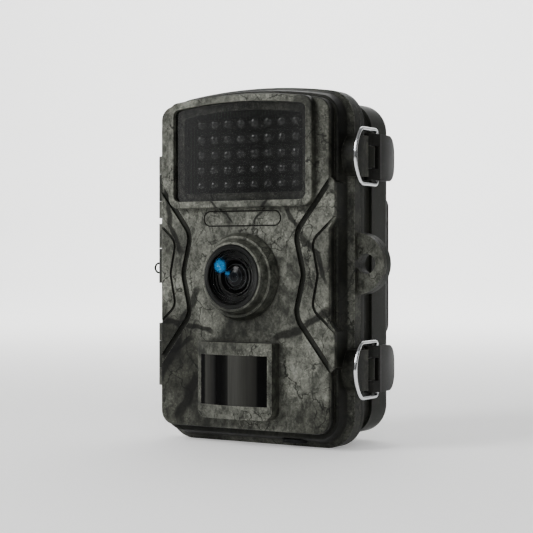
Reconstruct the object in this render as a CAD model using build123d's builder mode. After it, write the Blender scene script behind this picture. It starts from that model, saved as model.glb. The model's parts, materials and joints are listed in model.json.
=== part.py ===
from build123d import *
import os

os.makedirs("parts", exist_ok=True)

# Trail camera: a clamshell case, hinged on its left side and closed by two draw
# latches on its right. The front half carries the electronics and the batteries.
# Millimetres, +Z up, the lens looks along -Y. The origin is the centre of the
# mouth of the tripod socket, on the plane that the camera stands on.

# ---------------------------------------------------------------- case
HEIGHT = 135.5          # from the base plane to the crown of the flange
CROWN = 4.2             # rise of the arched top
SEAM = 0.1              # half the gap between the two halves
FLANGE_HALF = 42.0      # half the width of the joint flange
FLANGE_CORNER = 12.0

Y_PART = -13.8          # joint plane between the halves
Y_FLANGE = -18.5        # front face of the flange lip
Y_SHOULDER = -20.2      # where the wall flares out to the flange
Y_STEP = -26.0          # foot of the panel's step
Y_PANEL = -30.0         # face of the front panel
Y_PANEL_BACK = -28.0
Y_DEEP = -24.2          # where the inside of the front shell narrows
Y_REAR_FLANGE = -11.0
Y_TIER = 1.0            # step between the two tiers of the rear shell
Y_BACK = 16.0           # back of the rear shell
Y_BACK_INNER = 13.0
Y_BRACKET = 21.0        # back of the strap bracket

PANEL_HALF = 37.6
X_GUARD = 39.9          # outer face of the guards on the latch side
FRONT_INNER = 37.2      # half width inside the front shell
REAR_INNER = 35.5
TIER_CORNER = 10.0
# outlines: half width, foot, crown, corner radius
WALL_ROOT = (40.0, 2.2, 134.4, 10.5)            # wall of the front half at its shoulder
WALL_FOOT = (39.1, 4.0, 133.6, 8.5)             # and at the foot of the panel's step
PANEL = (PANEL_HALF, 6.2, 132.6, 5.5)
FRONT_HOLLOW = (FRONT_INNER, 4.2, 132.0, 8)
DEEP_HOLLOW = (REAR_INNER, 8.2, 130.4, 4)
LOWER_TIER = (37.5, 4.4, 131.2, TIER_CORNER)
UPPER_TIER = (38.7, 3.2, 132.4, TIER_CORNER + 1)
REAR_HOLLOW = (REAR_INNER, 6.4, 129.2, TIER_CORNER - 2)
SEAL_OUTER = (40.0, 2.0, 133.5, 9.95)
SEAL_INNER = (38.6, 3.4, 132.1, 8.55)
GROOVE_OUTER = (40.05, 1.95, 133.55, 10.0)
GROOVE_INNER = (38.55, 3.45, 132.05, 8.5)

# ---------------------------------------------------------------- front face
Z_MIDDLE = 64.6         # height of the panel's line of symmetry
GROOVE_WIDE, GROOVE_WIDE_DEPTH = 2.3, 1.2
GROOVE_FINE, GROOVE_FINE_DEPTH = 1.1, 0.8
BADGE_LENGTH, BADGE_HEIGHT, Z_BADGE = 34.8, 6.2, 85.6

WINDOW_HALF = 29.5
WINDOW_LOW, WINDOW_HIGH = 92.2, 129.4
WINDOW_RISE = 2.2       # rise of the window's arched top
WINDOW_LEDGE = 3.0
FRAME_RIM = 2.6
Y_FRAME = -33.0
Y_WINDOW = -31.4
WINDOW_THICK = 1.5

LED_COLUMNS, LED_ROWS = 8, 5
LED_PITCH_X, LED_PITCH_Z = 6.1, 5.9
Z_LED = 110.2           # middle row
R_LED = 2.5
Y_LED_TIP = -27.4

Z_LENS = 63.7
R_COLLAR = 16.5
R_COLLAR_STEP = 14.4
R_COLLAR_RIM = 12.9
R_LENS_RING = 12.1
R_LENS_PORT = 9.6       # opening behind the lens ring
R_COVER = 10.15
Y_COLLAR_STEP = -34.2
Y_COLLAR_RIM = -37.4
Y_RING_SEAT = -33.6
Y_GLASS_BACK, Y_GLASS_APEX, R_GLASS = -33.3, -35.6, 5.4
BARREL = [(-34.9, 7.0), (-34.9, 6.3), (-33.6, 5.6), (-31.8, 5.0), (-23.8, 5.0),
          (-23.8, 6.0), (-31.0, 6.0), (-31.0, 7.0)]     # (y, radius)

PIR_HALF = 16.4
PIR_LOW, PIR_HIGH = 10.7, 39.2
PIR_LENS_HALF = 14.7
PIR_LENS_LOW, PIR_LENS_HIGH = 15.7, 34.5
Y_PIR_SIDE, Y_PIR_NOSE = -35.2, -37.6
Z_PIR = 25.0

# ---------------------------------------------------------------- hinge, tabs
X_HINGE = -46.3
R_KNUCKLE = 3.2
R_HINGE_PIN = 1.2
RUN = 0.05              # radial clearance of a running pin
FRONT_KNUCKLES = [(19.9, 26.7), (37.7, 44.7), (74.7, 84.4), (86.7, 93.4), (104.2, 111.4)]
REAR_KNUCKLES = [(26.9, 37.5), (60.7, 74.5), (93.6, 104.0)]
Z_EYELET, R_EYELET, R_EYELET_WIRE = 66.7, 1.9, 0.4

X_TAB, Z_TAB, R_TAB = 41.4, 68.6, 11.5
X_LOCK, R_LOCK = 45.6, 3.75
TAB_FRONT, TAB_REAR = 2.4, 3.2      # thickness of each padlock tab

# ---------------------------------------------------------------- latches
LATCHES = {"upper": 108.1, "lower": 29.5}
X_PIVOT, Y_PIVOT = 44.4, -11.6      # lever pivot
X_BAIL, Y_BAIL = 45.6, -8.2         # rear bar of the bail
R_LATCH_PIN = 1.0
R_WIRE = 0.7
BAIL_HALF = 10.15       # from the middle to the side bars
BAIL_REACH = 16.5       # from the rear bar to the middle of the bow
BAIL_BOW = 4.6          # how far the bow bulges
BAIL_CORNER = 1.9
LEVER_HALF = 8.6
LEVER_THICK = 2.2
Y_LEVER_END = 5.6
LEVER_CORNER = 6.5
EAR_HALF = 4.1
NOTCH_HALF = 4.3
Y_NOTCH = -9.3
R_EAR = 2.1
X_CATCH = 46.0
Y_CATCH_BACK = -15.4
CATCH_HALF = 7.5

# ---------------------------------------------------------------- mounts
R_SOCKET = 2.6          # minor radius of a 1/4-20 thread
SOCKET_DEPTH = 7.0
R_INSERT = 4.2
INSERT_LENGTH = 8.0
R_BOSS = 8.5
BOSS_HEIGHT = 9.6

BRACKET_HALF = 36.0
BRACKET_LOW, BRACKET_HIGH = 39.7, 95.7
STRAP_LOW, STRAP_HIGH = 50.6, 84.8
Y_STRAP_FLOOR = 14.6
Y_STRAP_BAR = 19.0
STRAP_BAR = 7.0
Y_SEAL = -12.5          # floor of the seal's groove
R_BRACKET_HEAD = 2.4
TOOTH_COUNT, TOOTH_PITCH = 11, 4.2
BRACKET_SCREWS = [(x, z) for x in (-29.0, 29.0) for z in (45.2, 90.2)]

# ---------------------------------------------------------------- inside
DECK_LEFT, DECK_RIGHT = -32.0, 31.0
Y_PLATE_FRONT, Y_PLATE = -16.2, -14.2   # chassis plate
Y_DECK_INNER, Y_DECK = -7.5, -5.5       # upper deck
DECK_LOW, DECK_HIGH = 68.2, 123.4
TRAY_LOW, Y_TRAY = 11.2, 6.4
TRAY_WALL = 1.6

R_CELL, CELL_BODY, CELL_PITCH, CELL_COUNT = 7.1, 49.3, 15.2, 4
R_NUB, NUB = 2.75, 1.2
X_PACK, Y_PACK, Z_CELL = -0.5, -1.6, 14.9
Y_TRAY_FLOOR = -9.0
CONTACT = 0.3

BOARD = 1.4
Y_MAIN = -11.0          # rear face of the main board
Y_IR_BOARD = -20.2      # front faces of the other boards
Y_CAMERA_BOARD = -20.6
Y_PIR_BOARD = -22.5
IR_BOARD_X, IR_BOARD_Z = (-31.0, 31.0), (91.0, 127.0)
CAMERA_BOARD_X, CAMERA_BOARD_Z = (-17.5, 17.5), (Z_LENS - 10.0, Z_LENS + 10.0)
PIR_BOARD_X, PIR_BOARD_Z = (-19.0, 19.0), (15.0, 35.0)
MAIN_X, MAIN_Z = (-30.0, 29.2), (70.2, 121.4)
CHIP_X, CHIP_Z = (-2.0, 12.0), (93.0, 107.0)
X_SPEAKER, Z_SPEAKER, R_SPEAKER = 24.0, 48.0, 8.0
X_MICROPHONE = -12.0
R_KEY, R_KEY_HOLE, R_KEY_SKIRT = 2.8, 3.1, 3.3
KEYS = {
    "menu": (23.0, 117.0), "shot": (23.0, 108.0), "replay": (23.0, 99.0),
    "up": (-14.0, 88.4), "down": (-14.0, 73.6), "left": (-21.4, 81.0),
    "right": (-6.6, 81.0), "ok": (-14.0, 81.0),
}
LCD_X, LCD_Z = (-29.0, 15.0), (92.4, 121.4)
VIEW_X, VIEW_Z = (-26.0, 12.0), (95.0, 118.8)
SWITCH_X, SWITCH_Z, SWITCH_TRAVEL = (4.0, 15.0), (86.2, 91.2), 5.0
CARD_X, CARD_Z, CARD_THICK = (16.6, 31.6), (72.6, 83.6), 1.0
USB_X, USB_Z = (23.9, 29.3), (86.6, 94.1)
X_DC, Y_DC = 18.0, -21.4

CASE_SCREWS = [(x, z) for x in (-34.6, 34.6) for z in (20.0, 66.0, 112.0)]
IR_SCREWS = [(x, z) for x in (-28.5, 28.5) for z in (93.5, 124.0)]
CAMERA_SCREWS = [(-14.5, Z_LENS), (14.5, Z_LENS)]
PIR_SCREWS = [(-17.0, Z_PIR), (17.0, Z_PIR)]
MAIN_SCREWS = [(-27.6, 72.4), (-27.6, 88.4), (27.7, 103.5)]
R_BOARD_BOSS, R_BOARD_SCREW = 1.9, 0.8
R_CASE_BOSS, R_CASE_SCREW, R_CASE_HEAD = 2.6, 1.2, 2.0


# -------------------------------------------------------------- shared helpers
def facing(y):
    """Plane across the depth at y, drawn as seen from the front."""
    return Plane(origin=(0, y, 0), x_dir=(1, 0, 0), z_dir=(0, -1, 0))


def sideways(x):
    """Plane across the width at x, drawn with depth across and height up."""
    return Plane.YZ.offset(x)


def outline(half, low, crown, corner, rise=CROWN):
    """Round-cornered outline with an arched top."""
    with BuildLine() as edge:
        Line((-half, low), (half, low))
        Line((half, low), (half, crown - rise))
        ThreePointArc((half, crown - rise), (0, crown), (-half, crown - rise))
        Line((-half, crown - rise), (-half, low))
    make_face(edge.edges())
    fillet(vertices(), corner)


def block(x, y, z, mode=Mode.ADD):
    """Straight block between pairs of coordinates."""
    with Locations(((x[0] + x[1]) / 2, (y[0] + y[1]) / 2, (z[0] + z[1]) / 2)):
        Box(x[1] - x[0], y[1] - y[0], z[1] - z[0], mode=mode)


def upright(x, y, z, radius, mode=Mode.ADD):
    """Round rod along Z between a pair of heights."""
    with Locations((x, y, (z[0] + z[1]) / 2)):
        Cylinder(radius, z[1] - z[0], mode=mode)


def inward(x, y, z, radius, mode=Mode.ADD):
    """Round rod along Y between a pair of depths."""
    with Locations(Location((x, (y[0] + y[1]) / 2, z), (90, 0, 0))):
        Cylinder(radius, y[1] - y[0], mode=mode)


def turned(points, z):
    """Solid of revolution about the depth axis at height z, from (y, radius) points."""
    with BuildSketch(sideways(0)) as profile:
        with BuildLine():
            Polyline([(y, z + r) for y, r in points], close=True)
        make_face()
    revolve(profile.sketch, axis=Axis((0, 0, z), (0, 1, 0)))


def screw(x, z, tip, seat, radius, head, head_thick):
    """Screw along Y: shank from tip to seat, head behind the seat."""
    inward(x, (tip, seat), z, radius)
    inward(x, (seat, seat + head_thick), z, head)


def save(part, name):
    """Label a finished piece and write it."""
    part.part.label = name
    export_step(part.part, f"parts/{name}.step")


# ================================================================ front half
# front_shell: camouflage ABS moulding with the panel, collar and catches
with BuildPart() as front_shell:
    with BuildSketch(facing(Y_PART - SEAM)):
        outline(FLANGE_HALF, 0, HEIGHT, FLANGE_CORNER)
    extrude(amount=Y_PART - SEAM - Y_FLANGE)
    with BuildSketch(facing(Y_FLANGE)):
        outline(FLANGE_HALF - 0.2, 0.2, HEIGHT - 0.2, FLANGE_CORNER)
    with BuildSketch(facing(Y_SHOULDER)):
        outline(*WALL_ROOT)
    loft(ruled=True)
    with BuildSketch(facing(Y_SHOULDER)):
        outline(*WALL_ROOT)
    with BuildSketch(facing(Y_STEP)):
        outline(*WALL_FOOT)
    loft(ruled=True)
    fillet(faces().sort_by(Axis.Y)[0].edges(), 0.8)

    # raised panel, with two guards on the latch side
    with BuildSketch(facing(Y_STEP)):
        outline(*PANEL)
    extrude(amount=Y_STEP - Y_PANEL)
    fillet(faces().sort_by(Axis.Y)[0].edges(), 0.9)
    with BuildSketch(facing(Y_SHOULDER)):
        for end in (-1, 1):
            with BuildLine():
                Polyline(
                    [(PANEL_HALF - 1, Z_MIDDLE + end * 35.6), (PANEL_HALF, Z_MIDDLE + end * 35.6),
                     (X_GUARD, Z_MIDDLE + end * 33.6), (X_GUARD, Z_MIDDLE + end * 20.8),
                     (PANEL_HALF, Z_MIDDLE + end * 16.8), (PANEL_HALF - 1, Z_MIDDLE + end * 16.8)],
                    close=True)
            make_face()
    extrude(amount=Y_SHOULDER - Y_PANEL)

    # raised frame of the infrared window
    with BuildSketch(facing(Y_STEP)):
        outline(WINDOW_HALF + FRAME_RIM, WINDOW_LOW - FRAME_RIM,
                WINDOW_HIGH + FRAME_RIM, 4.5, WINDOW_RISE)
    extrude(amount=Y_STEP - Y_FRAME)
    fillet(faces().sort_by(Axis.Y)[0].edges(), 0.8)

    # housing of the motion sensor, with a bowed front
    with BuildSketch(Plane.XY.offset(PIR_LOW)):
        with BuildLine():
            Line((-PIR_HALF, Y_STEP), (-PIR_HALF, Y_PIR_SIDE))
            ThreePointArc((-PIR_HALF, Y_PIR_SIDE), (0, Y_PIR_NOSE), (PIR_HALF, Y_PIR_SIDE))
            Line((PIR_HALF, Y_PIR_SIDE), (PIR_HALF, Y_STEP))
            Line((PIR_HALF, Y_STEP), (-PIR_HALF, Y_STEP))
        make_face()
    extrude(amount=PIR_HIGH - PIR_LOW)
    low_corners = edges().filter_by(Axis.Y).filter_by_position(Axis.Z, PIR_LOW, PIR_LOW)
    chamfer(low_corners.filter_by_position(Axis.X, -PIR_HALF, PIR_HALF), 2.2)

    # lens collar
    turned([(Y_STEP, 0.1), (Y_STEP, R_COLLAR), (Y_PANEL - 1.2, R_COLLAR),
            (Y_COLLAR_STEP, R_COLLAR - 1.3), (Y_COLLAR_STEP, R_COLLAR_STEP),
            (Y_COLLAR_RIM + 0.9, R_COLLAR_RIM + 0.6), (Y_COLLAR_RIM, R_COLLAR_RIM),
            (Y_COLLAR_RIM, 0.1)], Z_LENS)

    # hollow inside
    with BuildSketch(facing(Y_PART - SEAM)):
        outline(*FRONT_HOLLOW)
    extrude(amount=Y_PART - SEAM - Y_DEEP, mode=Mode.SUBTRACT)
    with BuildSketch(facing(Y_DEEP)):
        outline(*DEEP_HOLLOW)
    extrude(amount=Y_DEEP - Y_PANEL_BACK, mode=Mode.SUBTRACT)
    inward(0, (Y_COLLAR_RIM - 1, Y_RING_SEAT), Z_LENS, R_LENS_RING + 0.05, mode=Mode.SUBTRACT)
    inward(0, (Y_COLLAR_RIM, Y_DEEP), Z_LENS, R_LENS_PORT, mode=Mode.SUBTRACT)

    # window seat and the opening behind its ledge
    with BuildSketch(facing(Y_WINDOW + WINDOW_THICK)):
        outline(WINDOW_HALF, WINDOW_LOW, WINDOW_HIGH, 2.5, WINDOW_RISE)
    extrude(amount=10, mode=Mode.SUBTRACT)
    with BuildSketch(facing(Y_DEEP)):
        outline(WINDOW_HALF - WINDOW_LEDGE, WINDOW_LOW + WINDOW_LEDGE,
                WINDOW_HIGH - WINDOW_LEDGE, 1.5, WINDOW_RISE)
    extrude(amount=10, mode=Mode.SUBTRACT)

    # motion sensor: hollow housing and the opening for its lens
    block((-PIR_LENS_HALF + 1.2, PIR_LENS_HALF - 1.2), (Y_PIR_SIDE - 4, Y_DEEP),
          (PIR_LENS_LOW + 1.2, PIR_LENS_HIGH - 1.2), mode=Mode.SUBTRACT)
    block((-PIR_LENS_HALF, PIR_LENS_HALF), (Y_PIR_NOSE - 1, Y_PIR_SIDE + 1.2),
          (PIR_LENS_LOW, PIR_LENS_HIGH), mode=Mode.SUBTRACT)

    # grooves of the panel: a wide one and a fine one on each side
    for side in (-1, 1):
        with BuildSketch(facing(Y_PANEL)):
            with BuildLine() as wide:
                FilletPolyline(
                    [(side * x, Z_MIDDLE + z) for x, z in
                     [(41.0, 38.0), (23.4, 15.2), (27.0, 0.0), (23.4, -15.2), (41.0, -38.0)]],
                    radius=8.0)
            trace(wide.line, GROOVE_WIDE)
        extrude(amount=-GROOVE_WIDE_DEPTH, mode=Mode.SUBTRACT)
        with BuildSketch(facing(Y_PANEL)):
            with BuildLine() as fine:
                FilletPolyline(
                    [(side * x, Z_MIDDLE + z) for x, z in
                     [(41.0, 21.8), (30.5, 12.4), (33.0, 0.0), (30.5, -12.4), (41.0, -21.8)]],
                    radius=5.0)
            trace(fine.line, GROOVE_FINE)
        extrude(amount=-GROOVE_FINE_DEPTH, mode=Mode.SUBTRACT)

    # outline groove of the blank badge
    with BuildSketch(facing(Y_PANEL)):
        with Locations((0, Z_BADGE)):
            SlotOverall(BADGE_LENGTH, BADGE_HEIGHT)
            SlotOverall(BADGE_LENGTH - 1.2, BADGE_HEIGHT - 1.2, mode=Mode.SUBTRACT)
    extrude(amount=-0.5, mode=Mode.SUBTRACT)

    # catches that the bails hook over
    r_catch = ((BAIL_HALF - 1) ** 2 + BAIL_BOW ** 2) / (2 * BAIL_BOW)
    y_catch = Y_BAIL - BAIL_REACH + r_catch
    r_catch = r_catch - R_WIRE - 0.2
    for z in LATCHES.values():
        with BuildSketch(sideways(FLANGE_HALF - 3.5)):
            with BuildLine():
                reach = (r_catch ** 2 - CATCH_HALF ** 2) ** 0.5
                ThreePointArc((y_catch - reach, z - CATCH_HALF), (y_catch - r_catch, z),
                              (y_catch - reach, z + CATCH_HALF))
                Line((y_catch - reach, z + CATCH_HALF), (Y_CATCH_BACK, z + CATCH_HALF))
                Line((Y_CATCH_BACK, z + CATCH_HALF), (Y_CATCH_BACK, z - CATCH_HALF))
                Line((Y_CATCH_BACK, z - CATCH_HALF), (y_catch - reach, z - CATCH_HALF))
            make_face()
        extrude(amount=X_CATCH - FLANGE_HALF + 3.5)

    # padlock tab
    with BuildSketch(facing(Y_PART - SEAM)):
        with Locations((X_TAB, Z_TAB)):
            Circle(R_TAB)
            with Locations((-R_TAB, 0)):
                Rectangle(2 * R_TAB, 2 * R_TAB, mode=Mode.SUBTRACT)
    extrude(amount=TAB_FRONT)
    inward(X_LOCK, (Y_FLANGE, Y_PART), Z_TAB, R_LOCK, mode=Mode.SUBTRACT)

    # hinge knuckles
    for low, high in FRONT_KNUCKLES:
        upright(X_HINGE, Y_PART, (low, high), R_KNUCKLE)
        block((X_HINGE, -FLANGE_HALF + 1), (Y_PART - R_KNUCKLE, Y_PART - SEAM), (low, high))
    upright(X_HINGE, Y_PART, (FRONT_KNUCKLES[0][0] - 1, FRONT_KNUCKLES[-1][1] + 1),
            R_HINGE_PIN + RUN, mode=Mode.SUBTRACT)

    # bosses for the screws
    for x, z in CASE_SCREWS:
        inward(x, (Y_PANEL_BACK, Y_PLATE_FRONT), z, R_CASE_BOSS)
        inward(x, (Y_PLATE_FRONT - 7, Y_PLATE_FRONT), z, R_CASE_SCREW, mode=Mode.SUBTRACT)
    for places, seat in ((IR_SCREWS, Y_IR_BOARD), (CAMERA_SCREWS, Y_CAMERA_BOARD),
                         (PIR_SCREWS, Y_PIR_BOARD)):
        for x, z in places:
            inward(x, (Y_PANEL_BACK, seat), z, R_BOARD_BOSS)
            inward(x, (seat - 4, seat), z, R_BOARD_SCREW, mode=Mode.SUBTRACT)

    # pocket and hole of the power inlet, and the microphone's port, in the bottom wall
    with BuildSketch(Plane.XY.offset(0)):
        with Locations((X_DC, Y_DC)):
            SlotOverall(10.4, 5.8)
    extrude(amount=3.2, mode=Mode.SUBTRACT)
    upright(X_DC, Y_DC, (0, 6), 2.2, mode=Mode.SUBTRACT)
    upright(X_MICROPHONE, Y_DC, (0, 6), 0.6, mode=Mode.SUBTRACT)
save(front_shell, "front_shell")

# ir_window: smoked acrylic pane over the infrared lamps
with BuildPart() as ir_window:
    with BuildSketch(facing(Y_WINDOW + WINDOW_THICK - 0.02)):
        outline(WINDOW_HALF - 0.08, WINDOW_LOW + 0.08, WINDOW_HIGH - 0.08, 2.4, WINDOW_RISE)
    extrude(amount=WINDOW_THICK)
save(ir_window, "ir_window")

# ir_board: circuit board of the lamps
with BuildPart() as ir_board:
    block(IR_BOARD_X, (Y_IR_BOARD, Y_IR_BOARD + BOARD), IR_BOARD_Z)
    for x, z in IR_SCREWS:
        inward(x, (Y_IR_BOARD, Y_IR_BOARD + BOARD), z, 1.0, mode=Mode.SUBTRACT)
save(ir_board, "ir_board")

# ir_leds: round infrared lamps with domed tips, in a grid
with BuildPart() as ir_leds:
    for column in range(LED_COLUMNS):
        for row in range(LED_ROWS):
            x = (column - (LED_COLUMNS - 1) / 2) * LED_PITCH_X
            z = Z_LED + (row - (LED_ROWS - 1) / 2) * LED_PITCH_Z
            inward(x, (Y_IR_BOARD - 1.0, Y_IR_BOARD), z, R_LED + 0.35)
            inward(x, (Y_LED_TIP + R_LED, Y_IR_BOARD - 1.0), z, R_LED)
            with Locations((x, Y_LED_TIP + R_LED, z)):
                Sphere(R_LED)
save(ir_leds, "ir_leds")

# light_sensor: photocell beside the lamps, behind the window
with BuildPart() as light_sensor:
    inward(0, (Y_IR_BOARD - 4.4, Y_IR_BOARD), 93.2, 1.6)
save(light_sensor, "light_sensor")

# lens_ring: black bezel with a stepped baffle round the lens
with BuildPart() as lens_ring:
    front = Y_COLLAR_RIM - 0.5
    baffle = [(front + 1.3, 9.5), (front + 2.0, 9.5), (front + 2.0, 8.8), (front + 2.7, 8.8),
              (front + 2.7, 8.1), (front + 3.4, 8.1), (front + 3.4, 7.2), (Y_RING_SEAT, 7.2)]
    turned([(Y_RING_SEAT, R_LENS_RING), (front + 0.4, R_LENS_RING),
            (front, R_LENS_RING - 0.4), (front, 10.6), (front + 0.4, 10.2),
            (front + 1.3, 10.2)] + baffle, Z_LENS)
save(lens_ring, "lens_ring")

# cover_glass: shallow dome that closes the lens ring
with BuildPart() as cover_glass:
    seat, rim = Y_COLLAR_RIM + 0.8, Y_COLLAR_RIM + 0.2
    with BuildSketch(sideways(0)):
        with BuildLine():
            Line((seat, Z_LENS), (rim - 0.6, Z_LENS))
            ThreePointArc((rim - 0.6, Z_LENS), (rim - 0.45, Z_LENS + R_COVER / 2),
                          (rim, Z_LENS + R_COVER))
            Line((rim, Z_LENS + R_COVER), (seat, Z_LENS + R_COVER))
            Line((seat, Z_LENS + R_COVER), (seat, Z_LENS))
        make_face()
    revolve(axis=Axis((0, 0, Z_LENS), (0, 1, 0)))
save(cover_glass, "cover_glass")

# lens_barrel: threaded tube that holds the glass elements
with BuildPart() as lens_barrel:
    turned(BARREL, Z_LENS)
save(lens_barrel, "lens_barrel")

# lens_glass: domed front element
with BuildPart() as lens_glass:
    with BuildSketch(sideways(0)):
        with BuildLine():
            edge = (Y_GLASS_BACK - 0.45, Z_LENS + R_GLASS)
            foot = (Y_GLASS_BACK, Z_LENS + R_GLASS - 0.2)
            Line((Y_GLASS_BACK, Z_LENS), (Y_GLASS_APEX, Z_LENS))
            ThreePointArc((Y_GLASS_APEX, Z_LENS), (Y_GLASS_APEX + 0.6, Z_LENS + 3.2), edge)
            Line(edge, foot)
            Line(foot, (Y_GLASS_BACK, Z_LENS))
        make_face()
    revolve(axis=Axis((0, 0, Z_LENS), (0, 1, 0)))
save(lens_glass, "lens_glass")

# rear_lens: smaller element inside the barrel
with BuildPart() as rear_lens:
    inward(0, (-27.5, -25.5), Z_LENS, 4.95)
save(rear_lens, "rear_lens")

# camera_board and image_sensor
with BuildPart() as camera_board:
    block(CAMERA_BOARD_X, (Y_CAMERA_BOARD, Y_CAMERA_BOARD + BOARD), CAMERA_BOARD_Z)
    for x, z in CAMERA_SCREWS:
        inward(x, (Y_CAMERA_BOARD, Y_CAMERA_BOARD + BOARD), z, 1.0, mode=Mode.SUBTRACT)
save(camera_board, "camera_board")

with BuildPart() as image_sensor:
    block((-4.0, 4.0), (Y_CAMERA_BOARD - 0.9, Y_CAMERA_BOARD), (Z_LENS - 3.6, Z_LENS + 3.6))
save(image_sensor, "image_sensor")

# lens_holder: block that carries the barrel over the sensor, slotted for the filter
with BuildPart() as lens_holder:
    block((-12.0, 12.0), (-27.6, Y_CAMERA_BOARD), (Z_LENS - 7.5, Z_LENS + 7.5))
    inward(0, (-28.0, -23.4), Z_LENS, 6.02, mode=Mode.SUBTRACT)
    block((-7.0, 11.2), (-23.4, -22.2), (Z_LENS - 4.8, Z_LENS + 4.8), mode=Mode.SUBTRACT)
    block((-5.0, 5.0), (-22.4, Y_CAMERA_BOARD), (Z_LENS - 4.8, Z_LENS + 4.8),
          mode=Mode.SUBTRACT)
save(lens_holder, "lens_holder")

# ir_cut_filter: slide that carries a clear and an infrared-blocking glass
with BuildPart() as ir_cut_filter:
    block((-6.6, 6.6), (-23.2, -22.5), (Z_LENS - 4.4, Z_LENS + 4.4))
save(ir_cut_filter, "ir_cut_filter")

# filter_coil: solenoid that shifts the filter
with BuildPart() as filter_coil:
    block((-5.0, 5.0), (-26.4, -21.4), (Z_LENS + 7.5, Z_LENS + 9.6))
save(filter_coil, "filter_coil")

# pir_lens: bowed dark lens of the motion sensor
with BuildPart() as pir_lens:
    rise = Y_PIR_SIDE - Y_PIR_NOSE
    bow = (PIR_HALF ** 2 + rise ** 2) / (2 * rise)
    with BuildSketch(Plane.XY.offset(PIR_LENS_LOW + 0.05)):
        with Locations((0, Y_PIR_NOSE + 0.1 + bow)):
            Circle(bow)
            Circle(bow - 1.4, mode=Mode.SUBTRACT)
        with Locations((0, Y_PIR_NOSE)):
            Rectangle(2 * PIR_LENS_HALF - 0.1, 12, mode=Mode.INTERSECT)
    extrude(amount=PIR_LENS_HIGH - PIR_LENS_LOW - 0.1)
save(pir_lens, "pir_lens")

# pir_board and pir_sensor: heat sensor in a metal can
with BuildPart() as pir_board:
    block(PIR_BOARD_X, (Y_PIR_BOARD, Y_PIR_BOARD + BOARD), PIR_BOARD_Z)
    for x, z in PIR_SCREWS:
        inward(x, (Y_PIR_BOARD, Y_PIR_BOARD + BOARD), z, 1.0, mode=Mode.SUBTRACT)
save(pir_board, "pir_board")

with BuildPart() as pir_sensor:
    inward(0, (Y_PIR_BOARD - 0.6, Y_PIR_BOARD), Z_PIR, 4.8)
    inward(0, (Y_PIR_BOARD - 4.4, Y_PIR_BOARD - 0.6), Z_PIR, 4.2)
    block((-2.0, 2.0), (Y_PIR_BOARD - 5.0, Y_PIR_BOARD - 4.0), (Z_PIR - 1.5, Z_PIR + 1.5),
          mode=Mode.SUBTRACT)
save(pir_sensor, "pir_sensor")

# speaker and microphone
with BuildPart() as speaker:
    inward(X_SPEAKER, (Y_PANEL_BACK + 0.1, Y_PANEL_BACK + 3.6), Z_SPEAKER, R_SPEAKER)
save(speaker, "speaker")

with BuildPart() as microphone:
    upright(X_MICROPHONE, Y_DC, (4.3, 6.6), 2.2)
save(microphone, "microphone")

# dc_jack and dc_plug: power inlet in the bottom wall, closed by a rubber plug
with BuildPart() as dc_jack:
    block((X_DC - 4.5, X_DC + 4.5), (Y_DC - 2.7, Y_DC + 2.7), (4.3, 15.0))
    upright(X_DC, Y_DC, (4.0, 13.0), 2.2, mode=Mode.SUBTRACT)
    upright(X_DC, Y_DC, (10.2, 13.2), 0.55)
save(dc_jack, "dc_jack")

with BuildPart() as dc_plug:
    with BuildSketch(Plane.XY.offset(1.7)):
        with Locations((X_DC, Y_DC)):
            SlotOverall(10.0, 5.4)
    extrude(amount=1.4)
    upright(X_DC, Y_DC, (3.1, 9.6), 1.9)
save(dc_plug, "dc_plug")

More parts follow.
